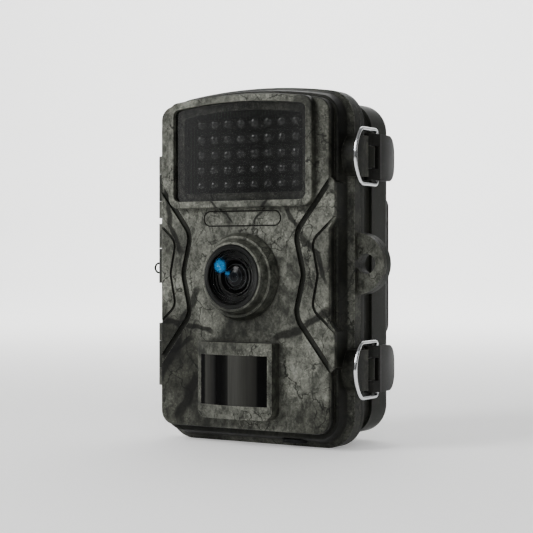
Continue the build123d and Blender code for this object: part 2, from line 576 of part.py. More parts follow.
# chassis: inner moulding with the control deck above and the battery tray below
with BuildPart() as chassis:
    with BuildSketch(facing(Y_PLATE)):
        outline(FRONT_INNER - 0.3, 4.5, 131.7, 7.7)
    extrude(amount=Y_PLATE - Y_PLATE_FRONT)
    block((DECK_LEFT, DECK_RIGHT), (Y_PLATE_FRONT, Y_DECK), (DECK_LOW, DECK_HIGH))
    block((DECK_LEFT, DECK_RIGHT), (Y_PLATE_FRONT, Y_TRAY), (TRAY_LOW, DECK_LOW))
    # hollows behind the deck and under the tray, open to the front
    inner = (DECK_LEFT + TRAY_WALL, DECK_RIGHT - TRAY_WALL)
    block(inner, (Y_PLATE_FRONT, Y_DECK_INNER), (DECK_LOW + TRAY_WALL, DECK_HIGH - TRAY_WALL),
          mode=Mode.SUBTRACT)
    block(inner, (Y_PLATE_FRONT, Y_TRAY_FLOOR - 1.8),
          (TRAY_LOW + TRAY_WALL, DECK_LOW - TRAY_WALL), mode=Mode.SUBTRACT)
    # battery bay, open to the rear, with a rib between neighbouring cells
    bay = CELL_COUNT * CELL_PITCH / 2
    block((X_PACK - bay, X_PACK + bay), (Y_TRAY_FLOOR, Y_TRAY),
          (TRAY_LOW + TRAY_WALL, DECK_LOW - TRAY_WALL), mode=Mode.SUBTRACT)
    for i in range(1, CELL_COUNT):
        x = X_PACK - bay + i * CELL_PITCH
        block((x - 0.35, x + 0.35), (Y_TRAY_FLOOR, Y_PACK - 3.0),
              (TRAY_LOW + TRAY_WALL, DECK_LOW - TRAY_WALL))
    # openings of the deck
    block(VIEW_X, (Y_DECK_INNER, Y_DECK), VIEW_Z, mode=Mode.SUBTRACT)
    block((VIEW_X[0] - 2, VIEW_X[1] + 2), (Y_DECK - 1.2, Y_DECK), (VIEW_Z[0] - 2, VIEW_Z[1] + 2),
          mode=Mode.SUBTRACT)
    for x, z in KEYS.values():
        inward(x, (Y_DECK_INNER, Y_DECK), z, R_KEY_HOLE, mode=Mode.SUBTRACT)
    middle_x, middle_z = sum(SWITCH_X) / 2, sum(SWITCH_Z) / 2
    block((middle_x - 4.2, middle_x + 4.2), (Y_DECK_INNER, Y_DECK),
          (middle_z - 1.5, middle_z + 1.5), mode=Mode.SUBTRACT)
    # openings of the right wall for the card and the USB plug
    block((DECK_RIGHT - 2, DECK_RIGHT), (Y_MAIN, Y_MAIN + 2.0), (CARD_Z[0] - 0.5, CARD_Z[1] + 0.5),
          mode=Mode.SUBTRACT)
    block((DECK_RIGHT - 2, DECK_RIGHT), (Y_MAIN, Y_MAIN + 3.0), (USB_Z[0] - 0.4, USB_Z[1] + 0.4),
          mode=Mode.SUBTRACT)
    # standoffs of the main board
    for x, z in MAIN_SCREWS:
        inward(x, (Y_MAIN, Y_DECK_INNER), z, 1.5)
        inward(x, (Y_MAIN, Y_MAIN + 2.6), z, R_BOARD_SCREW, mode=Mode.SUBTRACT)
    # sunk holes of the case screws
    for x, z in CASE_SCREWS:
        inward(x, (Y_PLATE_FRONT, Y_PLATE), z, R_CASE_SCREW + 0.2, mode=Mode.SUBTRACT)
        inward(x, (Y_PLATE - 1.3, Y_PLATE), z, R_CASE_HEAD + 0.15, mode=Mode.SUBTRACT)
save(chassis, "chassis")

# chassis_screws: fix the chassis to the bosses of the front shell
with BuildPart() as chassis_screws:
    for x, z in CASE_SCREWS:
        screw(x, z, Y_PLATE_FRONT - 6.5, Y_PLATE - 1.3, R_CASE_SCREW, R_CASE_HEAD, 1.2)
save(chassis_screws, "chassis_screws")

# board_screws: fix the four boards
with BuildPart() as board_screws:
    for places, board in ((IR_SCREWS, Y_IR_BOARD), (CAMERA_SCREWS, Y_CAMERA_BOARD),
                          (PIR_SCREWS, Y_PIR_BOARD)):
        for x, z in places:
            screw(x, z, board - 3.6, board + BOARD, R_BOARD_SCREW, 1.5, 0.9)
    for x, z in MAIN_SCREWS:
        inward(x, (Y_MAIN - BOARD, Y_MAIN + 2.4), z, R_BOARD_SCREW)
        inward(x, (Y_MAIN - BOARD - 0.9, Y_MAIN - BOARD), z, 1.5)
save(board_screws, "board_screws")

# main_board and main_chip
with BuildPart() as main_board:
    block(MAIN_X, (Y_MAIN - BOARD, Y_MAIN), MAIN_Z)
    for x, z in MAIN_SCREWS:
        inward(x, (Y_MAIN - BOARD, Y_MAIN), z, 1.0, mode=Mode.SUBTRACT)
save(main_board, "main_board")

with BuildPart() as main_chip:
    block(CHIP_X, (Y_MAIN - BOARD - 1.2, Y_MAIN - BOARD), CHIP_Z)
save(main_chip, "main_chip")

# lcd_panel behind its clear lcd_window
with BuildPart() as lcd_panel:
    block(LCD_X, (Y_MAIN, Y_MAIN + 2.4), LCD_Z)
save(lcd_panel, "lcd_panel")

with BuildPart() as lcd_window:
    block((VIEW_X[0] - 1.9, VIEW_X[1] + 1.9), (Y_DECK - 1.2, Y_DECK - 0.05),
          (VIEW_Z[0] - 1.9, VIEW_Z[1] + 1.9))
    fillet(edges().filter_by(Axis.Y), 0.6)
save(lcd_window, "lcd_window")

# key_switches: one tact switch under each key
with BuildPart() as key_switches:
    for x, z in KEYS.values():
        block((x - 3.0, x + 3.0), (Y_MAIN, Y_MAIN + 1.4), (z - 3.0, z + 3.0))
        inward(x, (Y_MAIN + 1.4, Y_MAIN + 1.7), z, 1.4)
save(key_switches, "key_switches")

# keys: round caps with a skirt under the deck
for name, (x, z) in KEYS.items():
    with BuildPart() as key:
        inward(x, (Y_MAIN + 2.3, Y_MAIN + 3.0), z, R_KEY_SKIRT)
        inward(x, (Y_MAIN + 2.9, Y_DECK + 0.9), z, R_KEY)
        fillet(edges().group_by(Axis.Y)[-1], 0.4)
    save(key, f"key_{name}")

# power_switch and its knob, which slides between off, test and on
with BuildPart() as power_switch:
    block(SWITCH_X, (Y_MAIN, Y_MAIN + 3.2), SWITCH_Z)
    block((middle_x - 4.4, middle_x + 4.4), (Y_MAIN + 2.0, Y_MAIN + 3.2),
          (middle_z - 1.5, middle_z + 1.5), mode=Mode.SUBTRACT)
save(power_switch, "power_switch")

with BuildPart() as power_knob:
    x = middle_x - SWITCH_TRAVEL / 2
    block((x - 1.3, x + 1.3), (Y_MAIN + 2.3, Y_DECK + 1.3), (middle_z - 1.2, middle_z + 1.2))
    fillet(edges().group_by(Axis.Y)[-1], 0.3)
save(power_knob, "power_knob")

# sd_slot and sd_card: spring-loaded holder of the memory card
with BuildPart() as sd_slot:
    block((15.0, 29.2), (Y_MAIN, Y_MAIN + 1.9), (CARD_Z[0] - 1.4, CARD_Z[1] + 1.4))
    block((16.0, 29.2), (Y_MAIN + 0.4, Y_MAIN + 1.6), (CARD_Z[0] - 0.2, CARD_Z[1] + 0.2),
          mode=Mode.SUBTRACT)
save(sd_slot, "sd_slot")

with BuildPart() as sd_card:
    block(CARD_X, (Y_MAIN + 0.5, Y_MAIN + 0.5 + CARD_THICK), CARD_Z)
    fillet(edges().filter_by(Axis.Y), 0.5)
save(sd_card, "sd_card")

# usb_port: metal shell of the data socket
with BuildPart() as usb_port:
    block(USB_X, (Y_MAIN, Y_MAIN + 2.7), USB_Z)
    block((USB_X[0] + 1, USB_X[1]), (Y_MAIN + 0.4, Y_MAIN + 2.3), (USB_Z[0] + 0.4, USB_Z[1] - 0.4),
          mode=Mode.SUBTRACT)
    block((USB_X[0] + 1, USB_X[1] - 0.6), (Y_MAIN + 1.0, Y_MAIN + 1.5),
          (USB_Z[0] + 1.4, USB_Z[1] - 1.4))
save(usb_port, "usb_port")

# battery_cells: four AA cells side by side, every other one turned over
cell_places = [X_PACK + (i - (CELL_COUNT - 1) / 2) * CELL_PITCH for i in range(CELL_COUNT)]
z_middle = Z_CELL + CELL_BODY / 2
with BuildPart() as battery_cells:
    for i, x in enumerate(cell_places):
        upright(x, Y_PACK, (Z_CELL, Z_CELL + CELL_BODY), R_CELL)
        end = z_middle + (-1) ** i * (CELL_BODY + NUB) / 2
        upright(x, Y_PACK, (end - NUB / 2, end + NUB / 2), R_NUB)
save(battery_cells, "battery_cells")

# battery_springs: coil under the flat end of each cell
with BuildPart() as battery_springs:
    for i, x in enumerate(cell_places):
        gap = Z_CELL - TRAY_LOW - TRAY_WALL - CONTACT
        wire = gap / 6 + 0.03
        middle = z_middle - (-1) ** i * (CELL_BODY + gap) / 2
        for turn in (-1, 0, 1):
            with Locations((x, Y_PACK, middle + turn * (gap / 2 - wire))):
                Torus(4.0, wire)
save(battery_springs, "battery_springs")

# battery_contacts: plated leaf at both ends of each cell, dimpled under the nub
with BuildPart() as battery_contacts:
    for i, x in enumerate(cell_places):
        for end in (-1, 1):
            wall = TRAY_LOW + TRAY_WALL if end < 0 else DECK_LOW - TRAY_WALL
            leaf = sorted((wall, wall - end * CONTACT))
            block((x - 6.0, x + 6.0), (Y_PACK - 6.0, Y_PACK + 5.0), leaf)
            if end == (-1) ** i:
                nub_end = z_middle + end * (CELL_BODY / 2 + NUB)
                upright(x, Y_PACK, sorted((wall, nub_end)), 1.5)
save(battery_contacts, "battery_contacts")

# ================================================================ rear half
# rear_shell: plain black ABS moulding in two tiers
with BuildPart() as rear_shell:
    with BuildSketch(facing(Y_REAR_FLANGE)):
        outline(FLANGE_HALF, 0, HEIGHT, FLANGE_CORNER)
    extrude(amount=Y_REAR_FLANGE - Y_PART - SEAM)
    fillet(edges().group_by(Axis.Y)[-1], 0.7)
    with BuildSketch(facing(Y_TIER + 1)):
        outline(*LOWER_TIER)
    extrude(amount=Y_TIER + 1 - Y_PART - SEAM)
    with BuildSketch(facing(Y_BACK)):
        outline(*UPPER_TIER)
    extrude(amount=Y_BACK - Y_TIER)
    fillet(edges().group_by(Axis.Y)[-1], 3.8)

    # groove of the seal: a pocket with the middle put back
    with BuildSketch(facing(Y_SEAL)):
        outline(*GROOVE_OUTER)
    extrude(amount=Y_SEAL - Y_PART, mode=Mode.SUBTRACT)
    with BuildSketch(facing(Y_SEAL)):
        outline(*GROOVE_INNER)
    extrude(amount=Y_SEAL - Y_PART - SEAM)

    # hollow inside
    with BuildSketch(facing(Y_BACK_INNER)):
        outline(*REAR_HOLLOW)
    extrude(amount=Y_BACK_INNER - Y_PART, mode=Mode.SUBTRACT)

    # boss of the tripod socket
    upright(0, 0, (0, BOSS_HEIGHT), R_BOSS)
    upright(0, 0, (0, INSERT_LENGTH), R_INSERT, mode=Mode.SUBTRACT)

    # channel for the strap across the back
    block((-50, 50), (Y_STRAP_FLOOR, Y_BACK + 1), (STRAP_LOW, STRAP_HIGH), mode=Mode.SUBTRACT)
    for x, z in BRACKET_SCREWS:
        inward(x, (Y_BACK_INNER + 0.4, Y_BACK), z, R_CASE_SCREW, mode=Mode.SUBTRACT)

    # padlock tab
    with BuildSketch(facing(Y_PART + SEAM + TAB_REAR)):
        with Locations((X_TAB, Z_TAB)):
            Circle(R_TAB)
            with Locations((-R_TAB - 0.4, 0)):
                Rectangle(2 * R_TAB, 2 * R_TAB, mode=Mode.SUBTRACT)
    extrude(amount=TAB_REAR)
    inward(X_LOCK, (Y_PART, Y_REAR_FLANGE + 3), Z_TAB, R_LOCK, mode=Mode.SUBTRACT)

    # hinge knuckles and the small eyelet
    for low, high in REAR_KNUCKLES:
        upright(X_HINGE, Y_PART, (low, high), R_KNUCKLE)
        block((X_HINGE, -FLANGE_HALF + 1), (Y_PART + SEAM, Y_PART + R_KNUCKLE), (low, high))
    with Locations(Location((X_HINGE - R_KNUCKLE - R_EYELET + 0.4, Y_PART + 1.0, Z_EYELET),
                            (90, 0, 0))):
        Torus(R_EYELET, R_EYELET_WIRE)
    upright(X_HINGE, Y_PART, (FRONT_KNUCKLES[0][0] - 1, FRONT_KNUCKLES[-1][1] + 1),
            R_HINGE_PIN + RUN, mode=Mode.SUBTRACT)

    # ear of each latch
    for z in LATCHES.values():
        ear = (z - EAR_HALF, z + EAR_HALF)
        block((FLANGE_HALF - 1, X_PIVOT), (Y_PART + SEAM, Y_PIVOT + R_EAR), ear)
        upright(X_PIVOT, Y_PIVOT, ear, R_EAR)
        upright(X_PIVOT, Y_PIVOT, ear, R_LATCH_PIN + RUN, mode=Mode.SUBTRACT)
save(rear_shell, "rear_shell")

# gasket: rubber seal in the groove of the rear flange
with BuildPart() as gasket:
    with BuildSketch(facing(Y_SEAL)):
        outline(*SEAL_OUTER)
    extrude(amount=Y_SEAL - Y_PART + SEAM / 2)
    with BuildSketch(facing(Y_SEAL)):
        outline(*SEAL_INNER)
    extrude(amount=Y_SEAL - Y_PART + SEAM / 2, mode=Mode.SUBTRACT)
save(gasket, "gasket")

# tripod_insert: brass bush with the tripod thread's bore
with BuildPart() as tripod_insert:
    upright(0, 0, (0, INSERT_LENGTH), R_INSERT)
    upright(0, 0, (0, SOCKET_DEPTH), R_SOCKET, mode=Mode.SUBTRACT)
    chamfer(edges().filter_by(GeomType.CIRCLE).group_by(Axis.Z)[0].sort_by(SortBy.RADIUS)[0], 0.4)
save(tripod_insert, "tripod_insert")

# strap_bracket: frame behind the case, with a bar over the strap channel at each side
with BuildPart() as strap_bracket:
    block((-BRACKET_HALF, BRACKET_HALF), (Y_BACK, Y_BRACKET), (BRACKET_LOW, BRACKET_HIGH))
    fillet(edges().filter_by(Axis.Y), 5.0)
    fillet(faces().sort_by(Axis.Y)[-1].edges(), 1.2)
    window = BRACKET_HALF - STRAP_BAR
    block((-window, window), (Y_BACK, Y_BRACKET), (STRAP_LOW, STRAP_HIGH), mode=Mode.SUBTRACT)
    block((-BRACKET_HALF, BRACKET_HALF), (Y_BACK, Y_STRAP_BAR), (STRAP_LOW, STRAP_HIGH),
          mode=Mode.SUBTRACT)
    # grip teeth across both rails
    for low in (BRACKET_LOW, STRAP_HIGH):
        for i in range(TOOTH_COUNT):
            x = (i - (TOOTH_COUNT - 1) / 2) * TOOTH_PITCH
            block((x - 1.0, x + 1.0), (Y_BRACKET - 1.2, Y_BRACKET), (low, low + 10.9),
                  mode=Mode.SUBTRACT)
    for x, z in BRACKET_SCREWS:
        inward(x, (Y_BACK, Y_BRACKET), z, R_CASE_SCREW + 0.2, mode=Mode.SUBTRACT)
        inward(x, (Y_BRACKET - 2.4, Y_BRACKET), z, R_BRACKET_HEAD + 0.2, mode=Mode.SUBTRACT)
save(strap_bracket, "strap_bracket")

# bracket_screws: hold the strap bracket on the rear shell
with BuildPart() as bracket_screws:
    for x, z in BRACKET_SCREWS:
        screw(x, z, Y_BACK_INNER + 0.6, Y_BRACKET - 2.4, R_CASE_SCREW, R_BRACKET_HEAD, 1.5)
        block((x - 1.5, x + 1.5), (Y_BRACKET - 1.5, Y_BRACKET - 0.8), (z - 0.3, z + 0.3),
              mode=Mode.SUBTRACT)
        block((x - 0.3, x + 0.3), (Y_BRACKET - 1.5, Y_BRACKET - 0.8), (z - 1.5, z + 1.5),
              mode=Mode.SUBTRACT)
save(bracket_screws, "bracket_screws")

# hinge_pin: one steel pin through every knuckle
with BuildPart() as hinge_pin:
    upright(X_HINGE, Y_PART, (FRONT_KNUCKLES[0][0], FRONT_KNUCKLES[-1][1]), R_HINGE_PIN)
    chamfer(edges(), 0.2)
save(hinge_pin, "hinge_pin")

# latch_pins: pivots of the two levers
with BuildPart() as latch_pins:
    for z in LATCHES.values():
        upright(X_PIVOT, Y_PIVOT, (z - LEVER_HALF, z + LEVER_HALF), R_LATCH_PIN)
save(latch_pins, "latch_pins")

# ================================================================ latches
for name, z in LATCHES.items():
    # lever: D-shaped thumb plate, forked round the ear of the rear shell
    with BuildPart() as lever:
        with BuildSketch(Plane.XY.offset(z - LEVER_HALF)):
            with Locations((X_PIVOT, Y_PIVOT)):
                Circle(R_EAR)
            with Locations((X_BAIL, Y_BAIL)):
                Circle(R_WIRE + 1.0)
            make_hull()
            with BuildLine() as middle:
                ThreePointArc((X_BAIL + 0.5, Y_BAIL), (X_BAIL + 0.3, -1.4),
                              (X_BAIL - 0.7, Y_LEVER_END))
            trace(middle.line, LEVER_THICK)
        extrude(amount=2 * LEVER_HALF)
        with BuildSketch(sideways(X_PIVOT - 6)):
            with Locations(((Y_PIVOT - 3 + Y_LEVER_END) / 2, z)):
                Rectangle(Y_LEVER_END - Y_PIVOT + 3, 2 * LEVER_HALF)
            fillet(vertices().sort_by(Axis.X)[-2:], LEVER_CORNER)
        extrude(amount=12, mode=Mode.INTERSECT)
        block((X_PIVOT - 6, X_PIVOT + 6), (Y_PIVOT - 4, Y_NOTCH), (z - NOTCH_HALF, z + NOTCH_HALF),
              mode=Mode.SUBTRACT)
        whole = (z - LEVER_HALF, z + LEVER_HALF)
        upright(X_PIVOT, Y_PIVOT, whole, R_LATCH_PIN + RUN, mode=Mode.SUBTRACT)
        upright(X_BAIL, Y_BAIL, whole, R_WIRE + RUN, mode=Mode.SUBTRACT)
    save(lever, f"lever_{name}")

    # bail: closed wire loop with a bowed front
    with BuildSketch(sideways(X_BAIL)) as loop:
        with BuildLine():
            bow_end = Y_BAIL - BAIL_REACH + BAIL_BOW
            Line((Y_BAIL, z - BAIL_HALF), (Y_BAIL, z + BAIL_HALF))
            Line((Y_BAIL, z + BAIL_HALF), (bow_end, z + BAIL_HALF))
            ThreePointArc((bow_end, z + BAIL_HALF), (Y_BAIL - BAIL_REACH, z),
                          (bow_end, z - BAIL_HALF))
            Line((bow_end, z - BAIL_HALF), (Y_BAIL, z - BAIL_HALF))
        make_face()
        fillet(vertices(), BAIL_CORNER)
    path = loop.sketch.faces()[0].outer_wire()
    with BuildPart() as bail:
        with BuildSketch(Plane(origin=path @ 0, z_dir=path % 0)):
            Circle(R_WIRE)
        sweep(path=path)
    save(bail, f"bail_{name}")
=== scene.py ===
"""Looks of a compact trail camera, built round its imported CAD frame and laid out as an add-on."""
import json
from math import cos, pi, radians, sin

import bpy
import numpy as np
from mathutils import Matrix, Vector


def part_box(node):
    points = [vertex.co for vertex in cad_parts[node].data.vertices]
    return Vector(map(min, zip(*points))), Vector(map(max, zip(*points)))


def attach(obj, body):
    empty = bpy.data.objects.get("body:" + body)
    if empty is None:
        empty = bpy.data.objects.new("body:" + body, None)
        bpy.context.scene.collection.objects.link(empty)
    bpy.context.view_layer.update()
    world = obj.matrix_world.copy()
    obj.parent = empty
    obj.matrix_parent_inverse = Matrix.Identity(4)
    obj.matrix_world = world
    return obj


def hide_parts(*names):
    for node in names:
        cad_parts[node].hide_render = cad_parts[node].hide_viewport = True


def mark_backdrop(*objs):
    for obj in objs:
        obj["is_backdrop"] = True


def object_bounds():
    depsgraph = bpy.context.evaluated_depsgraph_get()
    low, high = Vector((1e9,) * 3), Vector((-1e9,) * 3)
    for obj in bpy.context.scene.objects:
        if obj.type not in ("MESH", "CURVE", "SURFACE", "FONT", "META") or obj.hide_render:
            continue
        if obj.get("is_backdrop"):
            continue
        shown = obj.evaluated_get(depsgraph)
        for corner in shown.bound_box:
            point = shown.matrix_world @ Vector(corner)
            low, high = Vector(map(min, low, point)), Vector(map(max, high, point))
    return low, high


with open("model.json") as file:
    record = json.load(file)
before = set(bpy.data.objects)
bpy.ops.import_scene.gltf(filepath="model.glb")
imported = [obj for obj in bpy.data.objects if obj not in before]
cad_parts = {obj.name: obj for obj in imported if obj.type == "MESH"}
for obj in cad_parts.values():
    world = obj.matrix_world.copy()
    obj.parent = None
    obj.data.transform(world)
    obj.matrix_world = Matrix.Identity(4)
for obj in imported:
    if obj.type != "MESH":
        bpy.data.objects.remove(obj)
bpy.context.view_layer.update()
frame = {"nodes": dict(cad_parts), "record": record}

bl_info = {
    "name": "Trail Camera Looks",
    "version": (1, 0, 0),
    "blender": (4, 5, 0),
    "location": "3D View > Sidebar > Trail Camera",
    "description": "Finishes a trail camera's CAD parts and adds its lamps, optics, wire bails and stage",
    "category": "Object",
}

MM = 0.001
POLE = 1e-6             # radius at which a turned surface is as good as closed
LENS_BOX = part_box("lens_ring")
LENS_X = (LENS_BOX[0].x + LENS_BOX[1].x) / 2
LENS_Z = (LENS_BOX[0].z + LENS_BOX[1].z) / 2
LENS_AXIS = (LENS_X / MM, 0.0, LENS_Z / MM)     # in millimetres, for the textures
VIEW_TURN = radians(32.046)                     # how far the main camera looks round from the front

# the front panel in millimetres: the depth and the reach of its sunk lines, each as a soft edge; these
# and the step below place painted shade
SUNK_FACE, SUNK_FLOOR = (-29.9, -29.6), (-28.4, -27.8)
SUNK_HALF_WIDTH, SUNK_HALF_HEIGHT, SUNK_MIDDLE = (36.5, 37.1), (61.4, 62.2), 69.4
STEP_TOP, STEP_FOOT = (-28.8, -27.6), (-21.5, -18.6)


# ------------------------------------------------------------------ node helpers
def linear(code):
    """An sRGB hex colour turned to linear RGBA."""
    channels = [int(code[i:i + 2], 16) / 255 for i in (1, 3, 5)]
    return [*(c / 12.92 if c <= 0.04045 else ((c + 0.055) / 1.055) ** 2.4 for c in channels), 1.0]


def add(tree, kind, inputs=None, **settings):
    """Adds a node. An input is a value or another node's socket; a setting is an option of the node."""
    node = tree.nodes.new(kind)
    for name, value in settings.items():
        setattr(node, name, value)
    for socket, value in (inputs or {}).items():
        if isinstance(value, bpy.types.NodeSocket):
            tree.links.new(value, node.inputs[socket])
        else:
            node.inputs[socket].default_value = value
    return node


def start(name, **inputs):
    """A new material with its shader; inputs are the shader's own sockets, with _ for spaces."""
    material = bpy.data.materials.new(name)
    material.use_nodes = True
    tree = material.node_tree
    tree.nodes.clear()
    shader = add(tree, "ShaderNodeBsdfPrincipled",
                 {key.replace("_", " "): value for key, value in inputs.items()})
    add(tree, "ShaderNodeOutputMaterial", {"Surface": shader.outputs["BSDF"]})
    return material, tree, shader


def in_millimetres(tree, stretch=(1, 1, 1)):
    """Object coordinates in millimetres, so that a texture's scale is one over its grain."""
    place = add(tree, "ShaderNodeTexCoord")
    scale = [1000 / s for s in stretch]
    mapping = add(tree, "ShaderNodeMapping", {"Vector": place.outputs["Object"], "Scale": scale})
    return mapping.outputs["Vector"]


def ramp(tree, factor, *stops):
    """A colour ramp through (position, hex colour) stops."""
    node = add(tree, "ShaderNodeValToRGB", {"Fac": factor})
    points = node.color_ramp.elements
    while len(points) < len(stops):
        points.new(0.5)
    for point, (position, code) in zip(points, stops):
        point.position = position
        point.color = linear(code) if isinstance(code, str) else code
    return node.outputs["Color"]


def band(tree, value, low, high, start_at=0.0, end_at=1.0):
    """A value mapped from low..high to start_at..end_at with soft ends."""
    return add(tree, "ShaderNodeMapRange",
               {"Value": value, "From Min": low, "From Max": high, "To Min": start_at,
                "To Max": end_at}, interpolation_type="SMOOTHSTEP").outputs["Result"]


def math_of(tree, operation, first, second=0.0):
    """Arithmetic on two values."""
    return add(tree, "ShaderNodeMath", {0: first, 1: second}, operation=operation).outputs[0]


def blend_of(tree, mode, factor, first, second):
    """Two colours mixed by a blend mode."""
    node = add(tree, "ShaderNodeMix", {0: factor, 6: first, 7: second},
               data_type="RGBA", blend_type=mode)
    return node.outputs[2]


def rounded(tree, radius):
    """The normal of edges rounded to a radius in millimetres, and a mask of those edges."""
    soft = add(tree, "ShaderNodeBevel", {"Radius": radius * MM}, samples=6).outputs["Normal"]
    hard = add(tree, "ShaderNodeNewGeometry").outputs["Normal"]
    alike = add(tree, "ShaderNodeVectorMath", {0: soft, 1: hard}, operation="DOT_PRODUCT")
    return soft, band(tree, alike.outputs["Value"], 0.84, 0.99, 1.0, 0.0)


def spark_texture(tree, shader, grain, depth, strength=1.0, edge=0.2):
    """Rounded edges under the fine pits of a spark-eroded mould, their grain and depth in millimetres.

    Gives the mask of the rounded edges.
    """
    soft, rim_wear_and_sheen = rounded(tree, edge)
    pits = add(tree, "ShaderNodeTexNoise",
               {"Vector": in_millimetres(tree), "Scale": 1 / grain, "Detail": 3.0,
                "Roughness": 0.6})
    bump = add(tree, "ShaderNodeBump",
               {"Height": pits.outputs["Fac"], "Distance": depth * MM, "Strength": strength,
                "Normal": soft})
    tree.links.new(bump.outputs["Normal"], shader.inputs["Normal"])
    return rim_wear_and_sheen


def recess_shade(tree, reach):
    """How deep a point lies in a groove or corner, by the light that reaches it over a few mm: a mask for
    painted shade.
    """
    node = add(tree, "ShaderNodeAmbientOcclusion", {"Distance": reach * MM}, samples=6,
               only_local=True)
    return band(tree, node.outputs["AO"], 0.35, 0.9, 1.0, 0.0)


def offset_from(tree, place, axis):
    """Distance in millimetres from a line that runs front to back through a point."""
    rest = add(tree, "ShaderNodeVectorMath", {0: place, 1: axis}, operation="SUBTRACT")
    flat = add(tree, "ShaderNodeVectorMath", {0: rest.outputs[0], 1: (1.0, 0.0, 1.0)},
               operation="MULTIPLY")
    return add(tree, "ShaderNodeVectorMath", {0: flat.outputs[0]},
               operation="LENGTH").outputs["Value"]


# ---------------------------------------------------------------------- materials
# millimetres on the front face: from x, z, to x, z, half width
BRANCHES = [
    (-40.0, 20.0, -20.0, 59.0, 2.0), (-38.0, 46.0, -13.0, 43.0, 1.1),
    (-37.0, 33.0, -23.0, 40.0, 0.8), (-30.0, 8.0, -19.0, 26.0, 2.6),
    (14.0, 40.0, 38.0, 52.0, 1.6), (20.0, 90.0, 37.0, 62.0, 1.0), (-37.0, 96.0, -27.0, 72.0, 1.4),
    (-4.0, 84.0, -15.0, 96.0, 0.5), (4.0, 82.0, 13.0, 93.0, 0.5),
]
# and round shaded areas of the print: centre x, z, radius, how dark
SHADES = [
    (-32.0, 32.0, 20.0, 0.9), (-26.0, 8.0, 16.0, 0.7), (0.0, 44.0, 16.0, 0.45),
    (32.0, 8.0, 14.0, 0.7), (34.0, 118.0, 15.0, 0.6), (34.0, 66.0, 12.0, 0.4),
]


def bark(tree, place, grain, looks):
    """Bark mottling: tones of a few millimetres, broad patches, a fine fleck of lichen and pits."""
    fibre = add(tree, "ShaderNodeTexNoise",
                {"Vector": grain, "Scale": 1 / looks.bark_grain, "Detail": 10.0,
                 "Roughness": 0.74, "Distortion": 0.35}).outputs["Fac"]
    patch = add(tree, "ShaderNodeTexNoise",
                {"Vector": place, "Scale": 1 / 17.0, "Detail": 4.0, "Roughness": 0.55,
                 "Distortion": 1.1}).outputs["Fac"]
    fleck = add(tree, "ShaderNodeTexNoise",
                {"Vector": place, "Scale": 1 / 0.9, "Detail": 4.0, "Roughness": 0.7}).outputs["Fac"]
    tone = math_of(tree, "ADD", math_of(tree, "MULTIPLY", fibre, 0.66),
                   math_of(tree, "MULTIPLY", patch, 0.34))
    colour = ramp(tree, band(tree, tone, 0.34, 0.67), (0.0, "#252622"), (0.3, "#43443e"),
                  (0.55, [*looks.bark_colour, 1.0]), (0.8, "#66675f"), (1.0, "#797a73"))
    lichen = math_of(tree, "MULTIPLY", band(tree, fleck, 0.52, 0.66), band(tree, patch, 0.4, 0.6))
    colour = blend_of(tree, "MIX", math_of(tree, "MULTIPLY", lichen, 0.6), colour,
                      linear("#8d8e83"))
    pit = band(tree, fleck, 0.34, 0.46, 0.42, 0.0)
    colour = blend_of(tree, "MIX", pit, colour, linear("#171814"))
    return colour, fibre, patch, fleck


def bark_cracks(tree, colour, place, grain, patch):
    """Cracks of the bark: the borders of warped cells, a few tenths of a millimetre wide."""
    drift = add(tree, "ShaderNodeTexNoise",
                {"Vector": place, "Scale": 1 / 8.0, "Detail": 4.0}).outputs["Color"]
    push = add(tree, "ShaderNodeVectorMath", {0: drift, 3: 11.0}, operation="SCALE").outputs[0]
    warped = add(tree, "ShaderNodeVectorMath", {0: grain, 1: push}, operation="ADD").outputs[0]
    for size, width, depth in ((15.0, 0.024, 0.9), (6.5, 0.024, 0.5)):
        cell = add(tree, "ShaderNodeTexVoronoi", {"Vector": warped, "Scale": 1 / size},
                   feature="DISTANCE_TO_EDGE").outputs["Distance"]
        crack = math_of(tree, "MULTIPLY", band(tree, cell, 0.0, width, 1.0, 0.0),
                        band(tree, patch, 0.36, 0.58, 0.25, depth))
        colour = blend_of(tree, "MIX", crack, colour, linear("#12130f"))
    return colour


def printed_scene(tree, colour, place):
    """The film's print: dark swaying branches and round shaded areas."""
    sway = add(tree, "ShaderNodeTexNoise",
               {"Vector": place, "Scale": 1 / 11.0, "Detail": 2.0}).outputs["Fac"]
    sway = math_of(tree, "MULTIPLY", math_of(tree, "SUBTRACT", sway, 0.5), 7.0)
    for from_x, from_z, to_x, to_z, half in BRANCHES:
        along = Vector((to_x - from_x, 0.0, to_z - from_z))
        length = along.length
        along.normalize()
        rest = add(tree, "ShaderNodeVectorMath", {0: place, 1: (from_x, 0.0, from_z)},
                   operation="SUBTRACT").outputs[0]
        run = add(tree, "ShaderNodeVectorMath", {0: rest, 1: along},
                  operation="DOT_PRODUCT").outputs["Value"]
        off = add(tree, "ShaderNodeVectorMath", {0: rest, 1: (-along.z, 0.0, along.x)},
                  operation="DOT_PRODUCT").outputs["Value"]
        off = math_of(tree, "ABSOLUTE", math_of(tree, "ADD", off, sway))
        stroke = math_of(tree, "MULTIPLY", band(tree, off, half * 0.55, half * 1.3, 1.0, 0.0),
                         math_of(tree, "MULTIPLY", band(tree, run, -2.0, 2.0),
                                 band(tree, run, length - 2.0, length + 2.0, 1.0, 0.0)))
        colour = blend_of(tree, "MULTIPLY", math_of(tree, "MULTIPLY", stroke, 0.9), colour,
                          linear("#44453f"))
    for centre_x, centre_z, radius, share in SHADES:
        away = offset_from(tree, place, (centre_x, 0.0, centre_z))
        away = math_of(tree, "ADD", away, math_of(tree, "MULTIPLY", sway, 1.6))
        shade = band(tree, away, radius * 0.5, radius * 1.15, share, 0.0)
        colour = blend_of(tree, "MULTIPLY", shade, colour, linear("#62635c"))
    return colour


